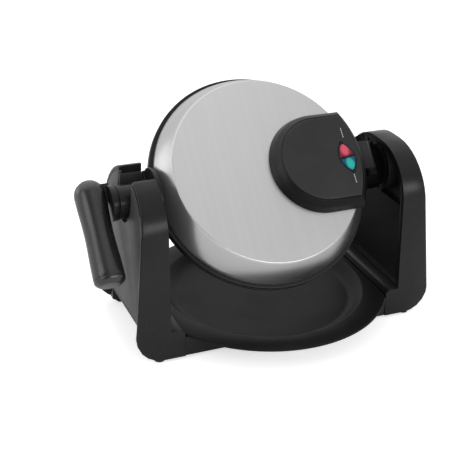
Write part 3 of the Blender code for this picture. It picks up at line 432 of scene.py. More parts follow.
    def kept_within(self, axis: Axis, reach: float) -> "Solid":
        """Cuts off what lies further out than a distance on both sides of the origin, and closes the cuts.

        Args:
            axis: The direction of the distance.
            reach: The distance.

        Returns:
            This solid.
        """
        for way in (-1.0, 1.0):
            normal = in_plane(axis, 0.0, 0.0, way)
            made = bmesh.ops.bisect_plane(
                self.bm,
                geom=list(self.bm.verts) + list(self.bm.edges) + list(self.bm.faces),
                dist=CUT_WIDTH,
                plane_co=normal * reach,
                plane_no=normal,
                clear_outer=True,
            )
            edges = [item for item in made["geom_cut"] if isinstance(item, bmesh.types.BMEdge)]
            bmesh.ops.edgenet_fill(self.bm, edges=edges)
        return self.tidied()

    def place(
        self,
        name: str,
        finish: "Finish",
        place: Matrix,
        body: str,
        smooth: float = 32.0,
        extra: bool = False,
        inside: Optional["Finish"] = None,
    ) -> bpy.types.Object:
        """Makes the object, in the place of the CAD node of the same name.

        Args:
            name: The name of the node and of the new piece's root.
            finish: What it is made of.
            place: The frame that it was built in.
            body: The CAD body that it rides on.
            smooth: The least angle in degrees that shows as an edge.
            extra: Whether it is a piece with no CAD node and no slot of its own.
            inside: What the faces of material 1 are made of, if there are any.

        Returns:
            The object.
        """
        bmesh.ops.transform(self.bm, matrix=place, verts=self.bm.verts)
        mesh = bpy.data.meshes.new(f"{name}_form")
        self.bm.to_mesh(mesh)
        self.bm.free()
        mesh.shade_smooth()
        mesh.set_sharp_from_angle(angle=math.radians(smooth))
        for used in (finish, inside):
            if used is not None:
                mesh.materials.append(used.material())
        made = bpy.data.objects.new(f"{name}_form", mesh)
        bpy.context.scene.collection.objects.link(made)
        if not extra:
            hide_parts(name)
        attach(made, body)
        LOG.info("%s: %d faces, %s", name, len(mesh.polygons), finish.name)
        return made


# Shader groups


class Graph:
    """A small helper round one node tree."""

    def __init__(self, tree: bpy.types.NodeTree) -> None:
        """Keeps the tree."""
        self.tree = tree

    def add(self, kind: str, **settings: object) -> bpy.types.Node:
        """Adds a node and sets its own properties.

        Args:
            kind: The node's type, without the words ShaderNode.
            settings: Values of its properties.

        Returns:
            The node.
        """
        node = self.tree.nodes.new(kind if kind.startswith("Node") else f"ShaderNode{kind}")
        for key, value in settings.items():
            setattr(node, key, value)
        return node

    def feed(self, socket: bpy.types.NodeSocket, value: object) -> None:
        """Links or sets one input.

        Args:
            socket: The input.
            value: A socket to link, or a value to set.
        """
        if isinstance(value, bpy.types.NodeSocket):
            self.tree.links.new(value, socket)
        elif value is not None:
            socket.default_value = value

    def maths(self, operation: str, first: object, second: object = None, third: object = None) -> object:
        """One step of arithmetic.

        Args:
            operation: The name of the operation.
            first: Its first value or socket.
            second: Its second, if it takes one.
            third: Its third, if it takes one.

        Returns:
            The output socket.
        """
        node = self.add("Math", operation=operation)
        for socket, value in zip(node.inputs, (first, second, third)):
            self.feed(socket, value)
        return node.outputs[0]

    def ranged(self, value: object, low: float, high: float, to_low: float, to_high: float) -> object:
        """A value carried smoothly from one range to another.

        Args:
            value: The socket.
            low: Where the first range starts.
            high: Where it ends.
            to_low: Where the second range starts.
            to_high: Where it ends.

        Returns:
            The output socket.
        """
        node = self.add("MapRange", interpolation_type="SMOOTHSTEP")
        for socket, item in zip(node.inputs, (value, low, high, to_low, to_high)):
            self.feed(socket, item)
        return node.outputs[0]

    def blended(self, share: object, first: object, second: object) -> object:
        """A mix of two colours.

        Args:
            share: How much of the second, as a value or socket.
            first: The first colour.
            second: The second colour.

        Returns:
            The output socket.
        """
        node = self.add("Mix", data_type="RGBA")
        self.feed(node.inputs[0], share)
        self.feed(node.inputs[6], first)
        self.feed(node.inputs[7], second)
        return node.outputs[2]


def new_group(name: str, inputs: dict[str, object], outputs: Sequence[str]) -> tuple[Graph, dict, dict]:
    """An empty shader node group.

    Args:
        name: The group's name.
        inputs: The default of each input. A triple makes a vector.
        outputs: The names of its outputs, which are all values.

    Returns:
        The graph, the group's inputs by name, and its outputs by name.
    """
    tree = bpy.data.node_groups.new(name, "ShaderNodeTree")
    for key, value in inputs.items():
        kind = "NodeSocketVector" if isinstance(value, tuple) else "NodeSocketFloat"
        socket = tree.interface.new_socket(name=key, in_out="INPUT", socket_type=kind)
        socket.default_value = value
    for key in outputs:
        tree.interface.new_socket(name=key, in_out="OUTPUT", socket_type="NodeSocketFloat")
    graph = Graph(tree)
    source, target = graph.add("NodeGroupInput"), graph.add("NodeGroupOutput")
    return graph, source.outputs, target.inputs


def noise(graph: Graph, vector: object, scale: object, detail: float, rough: float = 0.5) -> object:
    """A noise texture's value.

    Args:
        graph: Where it goes.
        vector: Its coordinates.
        scale: Its scale.
        detail: How many octaves it has.
        rough: How strong the finer ones are.

    Returns:
        The output socket.
    """
    node = graph.add("TexNoise")
    graph.feed(node.inputs["Vector"], vector)
    graph.feed(node.inputs["Scale"], scale)
    node.inputs["Detail"].default_value = detail
    node.inputs["Roughness"].default_value = rough
    return node.outputs[0]


@cache
def grain_group() -> bpy.types.NodeTree:
    """The fine grain of a moulded or cast surface: a height, and a slow mottle.

    Returns:
        The group.
    """
    graph, source, target = new_group(
        "moulded_grain", {"Vector": (0.0, 0.0, 0.0), "Scale": 1500.0}, ("Height", "Mottle")
    )
    fine = noise(graph, source["Vector"], source["Scale"], 2.0)
    cells = graph.add("TexVoronoi", feature="F1")
    graph.feed(cells.inputs["Vector"], source["Vector"])
    graph.feed(cells.inputs["Scale"], source["Scale"])
    graph.feed(target["Height"], graph.maths("MULTIPLY_ADD", cells.outputs[0], 0.5, fine))
    slow = noise(graph, source["Vector"], graph.maths("MULTIPLY", source["Scale"], 0.02), 4.0, 0.6)
    graph.feed(target["Mottle"], graph.ranged(slow, 0.3, 0.7, 0.0, 1.0))
    return graph.tree


@cache
def wear_and_highlight_group() -> bpy.types.NodeTree:
    """Where edges are rubbed, and on the console housing a painted highlight: a mask that is strongest along
    edges and broken up by noise.

    Returns:
        The group.
    """
    graph, source, target = new_group(
        "edge_wear_and_highlight", {"Vector": (0.0, 0.0, 0.0), "Radius": 0.0008, "Breakup": 90.0}, ("Edge",)
    )
    bevel = graph.add("Bevel", samples=4)
    graph.feed(bevel.inputs["Radius"], source["Radius"])
    geometry = graph.add("NewGeometry")
    dot = graph.add("VectorMath", operation="DOT_PRODUCT")
    graph.feed(dot.inputs[0], bevel.outputs[0])
    graph.feed(dot.inputs[1], geometry.outputs["Normal"])
    edge = graph.ranged(dot.outputs["Value"], 0.93, 0.995, 1.0, 0.0)
    broken = noise(graph, source["Vector"], source["Breakup"], 4.0, 0.65)
    graph.feed(target["Edge"], graph.maths("MULTIPLY", edge, graph.ranged(broken, 0.35, 0.65, 0.35, 1.0)))
    return graph.tree


@cache
def brushing_group() -> bpy.types.NodeTree:
    """Brushed metal: fine streaks along the vector's Y, as a height and as a slower sheen.

    Returns:
        The group.
    """
    graph, source, target = new_group(
        "brushing", {"Vector": (0.0, 0.0, 0.0), "Fineness": 2600.0, "Stretch": 0.02}, ("Height", "Sheen")
    )
    apart = graph.add("SeparateXYZ")
    graph.feed(apart.inputs[0], source["Vector"])
    joined = graph.add("CombineXYZ")
    graph.feed(joined.inputs[0], apart.outputs[0])
    graph.feed(joined.inputs[1], graph.maths("MULTIPLY", apart.outputs[1], source["Stretch"]))
    graph.feed(joined.inputs[2], apart.outputs[2])
    graph.feed(target["Height"], noise(graph, joined.outputs[0], source["Fineness"], 3.0, 0.6))
    broad = noise(graph, joined.outputs[0], graph.maths("MULTIPLY", source["Fineness"], 0.09), 3.0, 0.6)
    graph.feed(target["Sheen"], graph.ranged(broad, 0.3, 0.7, 0.0, 1.0))
    return graph.tree


@cache
def smudge_group() -> bpy.types.NodeTree:
    """Faint marks of handling, in soft patches.

    Returns:
        The group.
    """
    graph, source, target = new_group("smudges", {"Vector": (0.0, 0.0, 0.0), "Scale": 24.0}, ("Smudge",))
    patches = noise(graph, source["Vector"], source["Scale"], 5.0, 0.62)
    graph.feed(target["Smudge"], graph.ranged(patches, 0.42, 0.72, 0.0, 1.0))
    return graph.tree


# Finishes


@dataclass(frozen=True)
class Finish:
    """One finish and the record's material slot that it belongs to."""

    name: str
    slot: str
    colour: Triple
    # rubbed: the colour along edges; for the console housing also a painted highlight
    rubbed: Triple
    rough: float
    rough_span: float = 0.03
    metal: float = 0.0
    shine: float = 0.14
    coat: float = 0.0
    coat_rough: float = 0.12
    mottle: float = 0.5
    lighter: Pair = (1.25, 0.002)
    wear: float = 0.7
    grain: float = 1500.0
    bump: float = 0.08
    depth: float = 0.00005

    def material(self) -> bpy.types.Material:
        """The finish's material, made once.

        Returns:
            The material.
        """
        found = bpy.data.materials.get(self.name)
        if found:
            return found
        made = bpy.data.materials.new(self.name)
        made.use_nodes = True
        made.diffuse_color = (*self.colour, 1.0)
        graph = Graph(made.node_tree)
        shader = made.node_tree.nodes["Principled BSDF"]
        shader.inputs["Metallic"].default_value = self.metal
        shader.inputs["Specular IOR Level"].default_value = self.shine
        shader.inputs["Coat Weight"].default_value = self.coat
        shader.inputs["Coat Roughness"].default_value = self.coat_rough
        self.dress(graph, shader, self.coordinates(graph))
        return made

    def coordinates(self, graph: Graph) -> object:
        """The piece's own coordinates, turned level with the head.

        Args:
            graph: The material's graph.

        Returns:
            The vector socket.
        """
        source = graph.add("TexCoord")
        mapping = graph.add("Mapping", vector_type="TEXTURE")
        mapping.inputs["Location"].default_value = HEAD.to_translation()
        mapping.inputs["Rotation"].default_value = (HEAD_TILT, 0.0, 0.0)
        graph.feed(mapping.inputs["Vector"], source.outputs["Object"])
        return mapping.outputs[0]

    def placed(self, graph: Graph, tree: bpy.types.NodeTree, vector: object, **values: float) -> object:
        """Puts a shader group into the material.

        Args:
            graph: The material's graph.
            tree: The group.
            vector: Its coordinates.
            values: Its other inputs by name.

        Returns:
            The group node's outputs.
        """
        node = graph.add("Group", node_tree=tree)
        graph.feed(node.inputs["Vector"], vector)
        for key, value in values.items():
            node.inputs[key].default_value = value
        return node.outputs

    def dress(self, graph: Graph, shader: bpy.types.Node, vector: object) -> None:
        """Links colour, roughness and bump.

        Args:
            graph: The material's graph.
            shader: Its Principled shader.
            vector: The coordinates.
        """
        grain = self.placed(graph, grain_group(), vector, Scale=self.grain)
        marks = self.placed(graph, smudge_group(), vector)
        wear = self.placed(graph, wear_and_highlight_group(), vector)
        share = graph.maths("MULTIPLY", grain["Mottle"], self.mottle)
        colour = graph.blended(share, (*self.colour, 1.0), (*self.mottled(), 1.0))
        share = graph.maths("MULTIPLY", wear["Edge"], self.wear)
        colour = graph.blended(share, colour, (*self.rubbed, 1.0))
        graph.feed(shader.inputs["Base Color"], self.shaded(graph, vector, colour))
        least, most = self.rough - self.rough_span, self.rough + self.rough_span
        graph.feed(shader.inputs["Roughness"], graph.ranged(marks["Smudge"], 0.0, 1.0, least, most))
        self.bumped(graph, shader, grain["Height"])

    def shaded(self, graph: Graph, vector: object, colour: object) -> object:
        """The colour as it is, for a finish that is the same all over."""
        return colour

    def mottled(self) -> Triple:
        """The slightly lighter colour that the mottle goes to."""
        return tuple(value * self.lighter[0] + self.lighter[1] for value in self.colour)

    def bumped(self, graph: Graph, shader: bpy.types.Node, height: object) -> None:
        """Feeds a height to the shader's normal.

        Args:
            graph: The material's graph.
            shader: Its Principled shader.
            height: The height socket.
        """
        bump = graph.add("Bump")
        bump.inputs["Strength"].default_value = self.bump
        bump.inputs["Distance"].default_value = self.depth
        graph.feed(bump.inputs["Height"], height)
        graph.feed(shader.inputs["Normal"], bump.outputs[0])


@dataclass(frozen=True)
class BrushedFinish(Finish):
    """Sheet steel, brushed across its flat top and smoother on its shoulder, whose darker colour is painted
    shade and which is duller at its left.
    """

    flat: float = 92.8
    flat_fade: Pair = (-1.0, 2.0)
    streak: float = 1.03
    smudge: float = 0.04
    smudge_scale: float = 14.0
    # side: the shoulder's colour, darker than the flat's as painted shade
    side: Triple = (0.45, 0.45, 0.448)
    side_rough: float = 0.28
    side_metal: float = 0.82
    dull: Pair = (-60.0, 40.0)

    def dress(self, graph: Graph, shader: bpy.types.Node, vector: object) -> None:
        """Links the streaks, fades them out beyond the flat, and gives the shoulder its darker colour as
        painted shade.

        Args:
            graph: The material's graph.
            shader: Its Principled shader.
            vector: The coordinates.
        """
        brushing = self.placed(graph, brushing_group(), vector)
        marks = self.placed(graph, smudge_group(), vector, Scale=self.smudge_scale)
        apart = graph.add("SeparateXYZ")
        graph.feed(apart.inputs[0], vector)
        square = graph.maths("MULTIPLY_ADD", apart.outputs[0], apart.outputs[0], 0.0)
        square = graph.maths("MULTIPLY_ADD", apart.outputs[1], apart.outputs[1], square)
        radius = graph.maths("SQRT", square)
        inner, outer = ((self.flat + reach) * MILLIMETRE for reach in self.flat_fade)
        on_flat = graph.ranged(radius, inner, outer, 1.0, 0.0)
        sheen = graph.maths("MULTIPLY", brushing["Sheen"], on_flat)
        light = tuple(value * self.streak for value in self.colour)
        colour = graph.blended(sheen, (*self.colour, 1.0), (*light, 1.0))
        # The shoulder takes the darker side colour: painted shade.
        graph.feed(shader.inputs["Base Color"], graph.blended(on_flat, (*self.side, 1.0), colour))
        rough = graph.ranged(on_flat, 0.0, 1.0, self.side_rough, self.rough)
        rough = graph.maths("MULTIPLY_ADD", marks["Smudge"], self.smudge, rough)
        graph.feed(shader.inputs["Roughness"], rough)
        first, last = (reach * MILLIMETRE for reach in self.dull)
        metal = graph.ranged(apart.outputs[0], first, last, self.side_metal, self.metal)
        graph.feed(shader.inputs["Metallic"], graph.maths("MAXIMUM", metal, on_flat))
        self.bumped(graph, shader, graph.maths("MULTIPLY", brushing["Height"], on_flat))


@dataclass(frozen=True)
class ShadedWallFinish(Finish):
    """A satin plastic with painted shade: darker on the front of a cover's wall."""

    # wall: the painted shade colour on the front of the wall
    wall: Triple = (0.003, 0.003, 0.0033)
    front: float = -34.0
    back: float = 12.0

    def shaded(self, graph: Graph, vector: object, colour: object) -> object:
        """The colour with painted shade, darker towards the front of the head.

        Args:
            graph: The material's graph.
            vector: The coordinates.
            colour: The colour before.

        Returns:
            The colour socket.
        """
        apart = graph.add("SeparateXYZ")
        graph.feed(apart.inputs[0], vector)
        share = graph.ranged(apart.outputs[1], self.front * MILLIMETRE, self.back * MILLIMETRE, 0.0, 1.0)
        return graph.blended(share, (*self.wall, 1.0), colour)


@dataclass(frozen=True)
class LensFinish(Finish):
    """A coloured light: a bright middle in a deep border, under a clear gloss."""

    deep: Triple = (0.0, 0.0, 0.0)
    glow: float = 0.2
    middle: Triple = (0.0, 0.0, 0.0)
    reach: Pair = (5.0, 7.4)
    border: Pair = (0.55, 1.25)
    wobble: float = 0.25
    wobble_scale: float = 260.0
    tilt: float = 0.0

    def dress(self, graph: Graph, shader: bpy.types.Node, vector: object) -> None:
        """Links the colour from the light's middle outwards.

        Args:
            graph: The material's graph.
            shader: Its Principled shader.
            vector: The coordinates.
        """
        local = graph.add("Mapping", vector_type="TEXTURE")
        local.inputs["Location"].default_value = Vector(self.middle) * MILLIMETRE
        local.inputs["Rotation"].default_value = (0.0, 0.0, math.radians(self.tilt))
        local.inputs["Scale"].default_value = (*(reach * MILLIMETRE for reach in self.reach), 1.0)
        graph.feed(local.inputs["Vector"], vector)
        length = graph.add("VectorMath", operation="LENGTH")
        graph.feed(length.inputs[0], local.outputs[0])
        wobble = noise(graph, vector, self.wobble_scale, 2.0)
        distance = graph.maths("MULTIPLY_ADD", wobble, self.wobble, length.outputs["Value"])
        share = graph.ranged(distance, *self.border, 0.0, 1.0)
        colour = graph.blended(share, (*self.colour, 1.0), (*self.deep, 1.0))
        graph.feed(shader.inputs["Base Color"], colour)
        graph.feed(shader.inputs["Emission Color"], colour)
        shader.inputs["Emission Strength"].default_value = self.glow
        graph.feed(shader.inputs["Roughness"], graph.ranged(wobble, 0.3, 0.7, self.rough, self.rough + 0.06))


BLACK = Finish("satin_black", "black_plastic", (0.010, 0.010, 0.0103), (0.032, 0.032, 0.033), 0.30, shine=0.22)
# Painted shade: a darker black for the faces in the uprights' recesses, the yoke and the hub shaft.
SHADED_BLACK = Finish("painted_shade_black", "black_plastic", (0.004, 0.004, 0.0042), (0.018, 0.018, 0.0185), 0.45, shine=0.05)
SIDE = Finish(
    "side_cover_satin",
    "side_cover_plastic",
    (0.045, 0.045, 0.046),
    (0.08, 0.08, 0.082),
    0.46,
    shine=0.3,
    bump=0.12,
)
TRAY = Finish(
    "tray_satin", "tray_plastic", (0.0065, 0.0065, 0.0068), (0.026, 0.026, 0.027), 0.46, shine=0.1, bump=0.05
)
CONSOLE = Finish("console_matt", "black_plastic", (0.027, 0.027, 0.0275), (0.10, 0.10, 0.102), 0.50, bump=0.10)
# The housing's lighter edge colour is partly wear and partly a painted highlight along its top edge.
HOUSING = ShadedWallFinish(
    "console_satin", "black_plastic", (0.024, 0.024, 0.0243), (0.10, 0.10, 0.102), 0.36, bump=0.10
)
GRIP = Finish(
    "grip_soft", "grip_plastic", (0.007, 0.007, 0.0073), (0.03, 0.03, 0.031), 0.28, shine=0.7, bump=0.10
)
BEARING = Finish("bearing_grey", "bearing_plastic", (0.035, 0.035, 0.036), (0.09, 0.09, 0.09), 0.38)
RUBBER = Finish(
    "foot_rubber", "rubber", (0.016, 0.016, 0.016), (0.04, 0.04, 0.04), 0.80, shine=0.3, bump=0.25, grain=900.0
)
STEEL = BrushedFinish(
    "brushed_steel_skin",
    "brushed_steel",
    (0.61, 0.61, 0.608),
    (0.7, 0.7, 0.7),
    0.30,
    metal=1.0,
    bump=0.03,
    depth=0.00002,
)
BRIGHT = Finish(
    "turned_steel", "bright_steel", (0.60, 0.60, 0.60), (0.75, 0.75, 0.75), 0.22, metal=1.0, bump=0.03
)
# Steel coloured dark, so that the hinge pin's end shows dark beside the yoke.
DARK_PIN = Finish(
    "dark_pin_steel", "bright_steel", (0.035, 0.035, 0.036), (0.12, 0.12, 0.12), 0.40, metal=1.0, bump=0.03
)
COATED = Finish(
    "plate_coating",
    "coated_aluminium",
    (0.030, 0.030, 0.032),
    (0.10, 0.10, 0.10),
    0.36,
    metal=0.3,
    grain=2400.0,
    bump=0.18,
)
SHEATH = Finish(
    "heater_sheath_steel", "heater_sheath", (0.19, 0.18, 0.165), (0.3, 0.28, 0.25), 0.48, metal=1.0, bump=0.1
)
CERAMIC = Finish(
    "ceramic_body", "thermostat_ceramic", (0.66, 0.64, 0.58), (0.7, 0.68, 0.62), 0.55, grain=900.0, bump=0.15
)
PRINT = Finish("label_print", "", (0.42, 0.42, 0.43), (0.45, 0.45, 0.46), 0.55, bump=0.0)
LENS_FRAME = Finish(
    "lens_frame_gloss", "lens_frame_plastic", (0.006, 0.010, 0.014), (0.02, 0.03, 0.04), 0.20, bump=0.0
)


# The stand


@dataclass
class Upright:
    """One hollow upright with its outer cover."""

    side: Side
    foot_out: float = 157.3
    top_out: float = 142.6
    rest: float = 2.5
    top: float = 169.0
    arch: float = 51.0
    arch_off: float = 7.4
    arch_height: float = 118.0
    flare: float = 8.0
    rim_round: float = 1.5
    rim_near: float = 0.2
    edge_round: float = 0.5
    inward: float = -0.7

    def outer(self, height: float) -> float:
        """How far out the leaning outer face is at one height."""
        share = (height - self.rest) / (self.top - self.rest)
        return self.foot_out + (self.top_out - self.foot_out) * share

    def on_rim(self, point: Vector) -> bool:
        """Whether a point is on the line where the band meets the outer face.

        Args:
            point: The point, in the stand's frame.

        Returns:
            True on that line.
        """
        below = max(0.0, self.arch_height - point.z) / (self.arch_height - self.rest)
        across = max(0.0, abs(point.y) - self.arch_off - self.flare * below)
        rise = max(0.0, point.z - self.arch_height)
        on_band = abs(math.hypot(across, rise) - self.arch) < self.rim_near
        return on_band and abs(abs(point.x) - self.outer(point.z)) < self.rim_near

    def build(self) -> None:
        """Builds the moulding, with painted shade, a deeper black, on what faces the head, and its cover."""
        name = self.side.name.lower()
        body = Solid.of_node(f"{name}_upright", STAND)
        body.bevelled(self.rim_round, 4, where=self.on_rim, clamp=False)
        body.bevelled(self.edge_round, 2, angle=50.0)
        body.bm.normal_update()
        # Faces turned to the head get the painted-shade black.
        for face in body.bm.faces:
            face.material_index = int(face.normal.x * self.side.value < self.inward)
        body.place(f"{name}_upright", BLACK, STAND, "stand", inside=SHADED_BLACK)
        cover = Solid.of_node(f"{name}_side_cover", STAND).bevelled(self.edge_round, 2)
        cover.place(f"{name}_side_cover", SIDE, STAND, "stand")


@dataclass
class Base:
    """The crossbars, screws, pads and bearings of the stand."""

    bar_round: float = 0.8
    ledge: float = 107.2
    tongue: float = 11.5
    axis_height: float = 140.0
    liner_round: float = 0.4
    bearing_bore: float = 20.3
    bearing_radius: float = 23.0
    bearing_ends: Pair = (122.5, 130.7)
    screw_y: float = 54.45
    screw_dish: Pair = (1.6, 1.9)
    screw_head: float = 3.5
    screw_shank: float = 1.8
    screw_levels: tuple[float, ...] = (2.5, 3.4, 5.0, 18.0)
    pad_x: float = 131.5
    pad_y: float = 59.9
    pad_radius: float = 5.2
    pad_high: float = 4.0
    gland_place: Triple = (141.2, 0.0, 58.0)
    gland_bore: float = 2.5
    gland_neck: float = 4.2
    gland_lip: float = 6.0
    gland_levels: tuple[float, ...] = (50.84, 52.84, 63.27, 65.27)

    def build(self) -> None:
        """Builds every fixed piece but the uprights."""
        for end in End:
            name = f"{end.name.lower()}_crossbar"
            Solid.of_node(name, STAND).bevelled(self.bar_round, 3).place(name, BLACK, STAND, "stand")
            for side in Side:
                self.screw(side, end)
                self.pad(side, end)
        liner = Solid.of_node("cradle_liner", STAND).bevelled(self.liner_round, 2)
        liner.place("cradle_liner", BEARING, STAND, "stand")
        self.bearing()
        self.gland()

    def bearing(self) -> None:
        """The ring in the right upright that the hub turns in."""
        ring = sleeve(self.bearing_bore, self.bearing_radius, self.bearing_ends)
        bearing = Solid.spun(ring, LARGE_TURN, Axis.X, {0: 0.5, 1: 0.5, 2: 0.3, 3: 0.3})
        bearing.moved(0.0, 0.0, self.axis_height).place("hub_bearing", BEARING, STAND, "stand")

    def screw(self, side: Side, end: End) -> None:
        """One screw of a crossbar, with a dished head.

        Args:
            side: The end of the crossbar that it holds.
            end: Which crossbar it is.
        """
        low, dish, seat, top = self.screw_levels
        inner, outer = self.screw_dish
        head, shank = self.screw_head, self.screw_shank
        profile = [(0.0, dish), (inner, dish), (outer, low), (head, low)]
        profile += [(head, seat), (shank, seat), (shank, top), (0.0, top)]
        place = (side.value * (self.ledge + self.tongue / 2), end.value * self.screw_y, 0.0)
        name = f"crossbar_screw_{end.name.lower()}_{side.name.lower()}"
        Solid.spun(profile, SMALL_TURN, Axis.Z, {3: 0.6}).moved(*place).place(name, BRIGHT, STAND, "stand")

    def pad(self, side: Side, end: End) -> None:
        """One rubber foot.

        Args:
            side: The upright that it carries.
            end: The end of the upright.
        """
        profile = sleeve(0.0, self.pad_radius, (0.0, self.pad_high))
        place = (side.value * self.pad_x, end.value * self.pad_y, 0.0)
        name = f"foot_pad_{end.name.lower()}_{side.name.lower()}"
        pad = Solid.spun(profile, MIDDLE_TURN, Axis.Z, {1: 0.8, 2: 0.4}).moved(*place)
        pad.place(name, RUBBER, STAND, "stand")

    def gland(self) -> None:
        """The rubber gland where a cord would leave."""
        start, inner, outer, end = self.gland_levels
        bore, neck, lip = self.gland_bore, self.gland_neck, self.gland_lip
        profile = [(bore, start), (lip, start), (lip, inner), (neck, inner)]
        profile += [(neck, outer), (lip, outer), (neck, end), (bore, end)]
        gland = Solid.spun(profile, SMALL_TURN, Axis.Y, {5: 0.4, 6: 0.5}).moved(*self.gland_place)
        gland.place("cord_gland", RUBBER, STAND, "stand")


@dataclass
class DripTray:
    """The round tray, cut straight beside the ledges."""

    radius: float = 124.0
    rim: float = 101.0
    crown: float = 112.0
    crown_rise: float = 1.0
    lip: float = 2.2
    floor: float = 91.0
    floor_height: float = 15.0
    rim_height: float = 25.0
    skin: float = 2.0
    half_wide: float = 106.7
    turn: int = 144

    def build(self) -> None:
        """Builds the tray."""
        low, high, skin = self.floor_height, self.rim_height, self.skin
        top, lip = high + self.crown_rise, high - self.lip
        profile = [
            (0.0, low),
            (self.floor, low),
            (self.rim, high),
            (self.crown, top),
            (self.radius, high),
            (self.radius, lip),
            (self.radius - skin, lip),
            (self.radius - skin, high - skin),
            (self.crown, top - skin),
            (self.rim + skin / 2, high - skin),
            (self.floor + skin / 2, low - skin),
            (0.0, low - skin),
        ]
        rounds = {1: 5.0, 2: 1.4, 3: 4.0, 4: 1.0, 5: 0.5, 9: 1.0, 10: 4.0}
        tray = Solid.spun(profile, self.turn, Axis.Z, rounds).kept_within(Axis.X, self.half_wide)
        tray.place("drip_tray", TRAY, STAND, "tray")


# The head


@dataclass(frozen=True)
class Shoulder:
    """The slightly bulged side of a steel shell, up to the crease round its flat top."""

    shell: float = 105.0
    flat: float = 92.8
    foot: float = 7.0
    top: float = 31.0
    bulge: float = 1.0

    def point(self, share: float, skin: float = 0.0) -> Pair:
        """A point of the shoulder.

        Args:
            share: Where it is, from the foot (0) to the crease (1).
            skin: How far inside the outer face.

        Returns:
            Its radius and height.
        """
        lean = math.atan2(self.shell - self.flat, self.top - self.foot)
        low = Vector((self.shell - skin, self.foot - skin * math.tan(lean / 2)))
        high = Vector((self.flat - skin * math.tan(math.pi / 4 - lean / 2), self.top - skin))
        out = Vector((math.cos(lean), math.sin(lean))) * self.bulge * 4.0 * share * (1.0 - share)
        found = low.lerp(high, share) + out
        return found.x, found.y


